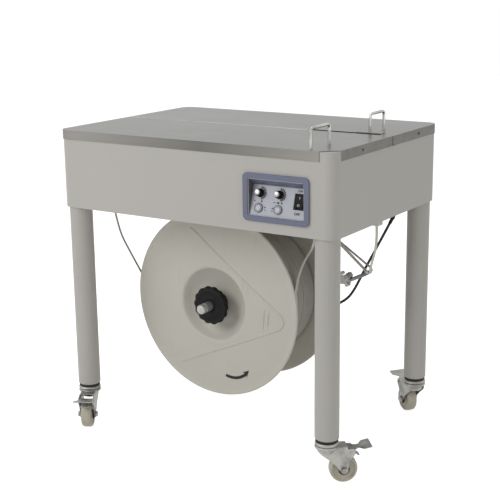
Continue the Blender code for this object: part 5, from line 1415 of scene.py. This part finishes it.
# %% The run round the arm
dancer = flat_route([polar(ARM_PIN, 0.0112, a) for a in (89.0, 72.0, 56.0)], 4)
dancer += flat_route([polar(TENSION_PIN, 0.0037, a) for a in (228.0, 262.0, 296.0, 325.0, 345.0)]
                     + [(0.3275, 0.4400), (0.3345, 0.4650), (0.3385, 0.4870), (0.3400, 0.5123),
                        (0.3395, 0.5390), (0.3395, 0.5860)])
fine = [dancer[0]]
for (x0, z0), (x1, z1) in zip(dancer, dancer[1:]):
    pieces = max(1, round(math.dist((x0, z0), (x1, z1)) / 0.006))
    fine += [(x0 + (x1 - x0) * k / pieces, z0 + (z1 - z0) * k / pieces) for k in range(1, pieces + 1)]
bm = bmesh.new()
add_ribbon(bm, fine, BAND_Y)
band_round_arm = settle(bm, "band_round_arm", None, [BAND], crease=60.0)
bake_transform(band_round_arm)
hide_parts("strap_dancer_run")

# %% [markdown]
# A narrower run goes up from the far side of the coil into the left end of the cabinet. It is
# drawn by the same helper.

# %% The run at the left
left_run = flat_route([(-0.3535, 0.567), (-0.3525, 0.530), (-0.347, 0.500), (-0.331, 0.451), (-0.307, 0.412),
                       (-0.281, 0.374), (-0.230, 0.2985)]
                      + [polar(REEL_SPOT, COIL_TOP, a) for a in (214.0, 221.0, 228.0)])
bm = bmesh.new()
add_ribbon(bm, left_run, -0.086, 0.0065)
settle(bm, "band_at_left", "frame", [BAND], ["strap_left_run"], 60.0)

# %% [markdown]
# The foot of the brake arm carries a short sleeve on its pin, and a clamp turned from bar.

# %% Sleeve and clamp on the brake arm
bm = bmesh.new()
route = [Vector((0.3135, 0.0110, 0.4160)).lerp(Vector((0.2645, 0.0110, 0.3915)), k / 6) for k in range(7)]
add_tube(bm, route, [0.0034, 0.0044, 0.0044, 0.0044, 0.0044, 0.0044, 0.0036], steps=20)
clamp = facing_out(0.2632, 0.0, 0.4030)
add_turned(bm, [(0.0, 0.0052), (0.0042, 0.0052), (0.0050, 0.0045), (0.0050, -0.0030), (0.0070, -0.0034),
                (0.0076, -0.0044), (0.0076, -0.0160), (0.0070, -0.0170), (0.0, -0.0170)], clamp, 32)
settle(bm, "arm_sleeve", "brake_arm", [DULL_IRON])

# %% [markdown]
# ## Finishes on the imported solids
#
# The solids that keep their shape get their finishes by the slot that each was packed with. The
# legs have a paint of their own, a little darker than the cabinet's.

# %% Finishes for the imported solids
FINISHES = {
    "grey_paint": CABINET_PAINT, "brushed_steel": TABLE_STEEL, "zinc_plate": ZINC,
    "cream_nylon": NYLON, "reel_plastic": REEL_PLASTIC, "strap_plastic": BAND,
    "black_plastic": BLACK, "blue_grey_plastic": BEZEL, "panel_grey": PANEL,
    "button_grey": BUTTON, "rubber": RUBBER, "cast_metal": DULL_IRON,
}
for name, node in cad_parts.items():
    for slot in node.material_slots:
        finish = FINISHES[slot.material.name.split(".")[0]]
        slot.material = LEG_PAINT if name.startswith("leg_") else finish
print("dressed", len(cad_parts), "packed solids")

# %% [markdown]
# ## The studio
#
# A pale floor, a white surround, and three large soft lamps: the key from the operator's left
# and above, a weaker fill from the right, and one over the table. The surround shows white to
# the camera and in reflections, and gives the paint only a plain, even light.

# %% Floor and surround
def studio_floor():
    bm = bmesh.new()
    bmesh.ops.create_grid(bm, x_segments=1, y_segments=1, size=9.0)
    mesh = bpy.data.meshes.new("studio_floor")
    bm.to_mesh(mesh)
    bm.free()
    floor = bpy.data.objects.new("studio_floor", mesh)
    bpy.context.scene.collection.objects.link(floor)
    finish = Finish("pale_floor", roughness=0.9, specular_ior_level=0.1)
    finish.put(finish.shader.inputs["Base Color"], finish.mix(
        finish.noise(finish.place, 2.0), tone(236, 236, 236), tone(240, 240, 240)))
    seen = finish.node("ShaderNodeLightPath", output="Is Camera Ray")
    glossy = finish.node("ShaderNodeLightPath", output="Is Glossy Ray")
    plain = Socket(finish, finish.shader.outputs[0])
    glow = finish.node("ShaderNodeEmission", sockets={"Color": (1, 1, 1, 1), "Strength": 0.76})
    both = finish.node("ShaderNodeAddShader", sockets={0: plain, 1: glow})
    chosen = finish.node("ShaderNodeMixShader", sockets={
        0: finish.maths("MAXIMUM", seen, glossy), 1: plain, 2: both})
    finish.tree.links.new(chosen.output, finish.tree.nodes["Material Output"].inputs["Surface"])
    mesh.materials.append(finish.material)


def white_surround(ambient):
    """White to the camera and in reflections, and a dim, even light on the object."""
    world = bpy.data.worlds.new("white_surround")
    world.use_nodes = True
    tree = world.node_tree
    tree.nodes.clear()
    path = tree.nodes.new("ShaderNodeLightPath")
    seen = path.outputs["Is Camera Ray"]
    for ray in ("Is Glossy Ray", "Is Transmission Ray"):
        either = tree.nodes.new("ShaderNodeMath")
        either.operation = "MAXIMUM"
        tree.links.new(seen, either.inputs[0])
        tree.links.new(path.outputs[ray], either.inputs[1])
        seen = either.outputs[0]
    mixed = tree.nodes.new("ShaderNodeMixShader")
    tree.links.new(seen, mixed.inputs[0])
    for socket, level in ((1, ambient), (2, 1.0)):
        background = tree.nodes.new("ShaderNodeBackground")
        background.inputs["Color"].default_value = (level, level, level, 1)
        tree.links.new(background.outputs[0], mixed.inputs[socket])
    out = tree.nodes.new("ShaderNodeOutputWorld")
    tree.links.new(mixed.outputs[0], out.inputs["Surface"])
    bpy.context.scene.world = world


studio_floor()
white_surround(0.36)
print("floor and surround")

# %% Lamps
def soft_lamp(name, place, aim, size, watts):
    data = bpy.data.lights.new(name, "AREA")
    data.shape = "DISK"
    data.size = size
    data.energy = watts
    lamp = bpy.data.objects.new(name, data)
    bpy.context.scene.collection.objects.link(lamp)
    turn = (Vector(place) - Vector(aim)).to_track_quat("Z", "Y").to_matrix().to_4x4()
    lamp.matrix_world = Matrix.Translation(Vector(place) + MIDDLE) @ turn


soft_lamp("key_lamp", (-1.5, -3.0, 2.3), (0, 0, 0.45), 2.2, 49.5)
soft_lamp("fill_lamp", (3.1, -1.2, 0.8), (0, 0, 0.45), 2.4, 12.5)
soft_lamp("top_lamp", (0.0, 0.3, 3.2), (0, 0, 0.7), 2.0, 20.0)

scene = bpy.context.scene
scene.view_settings.view_transform = "Standard"
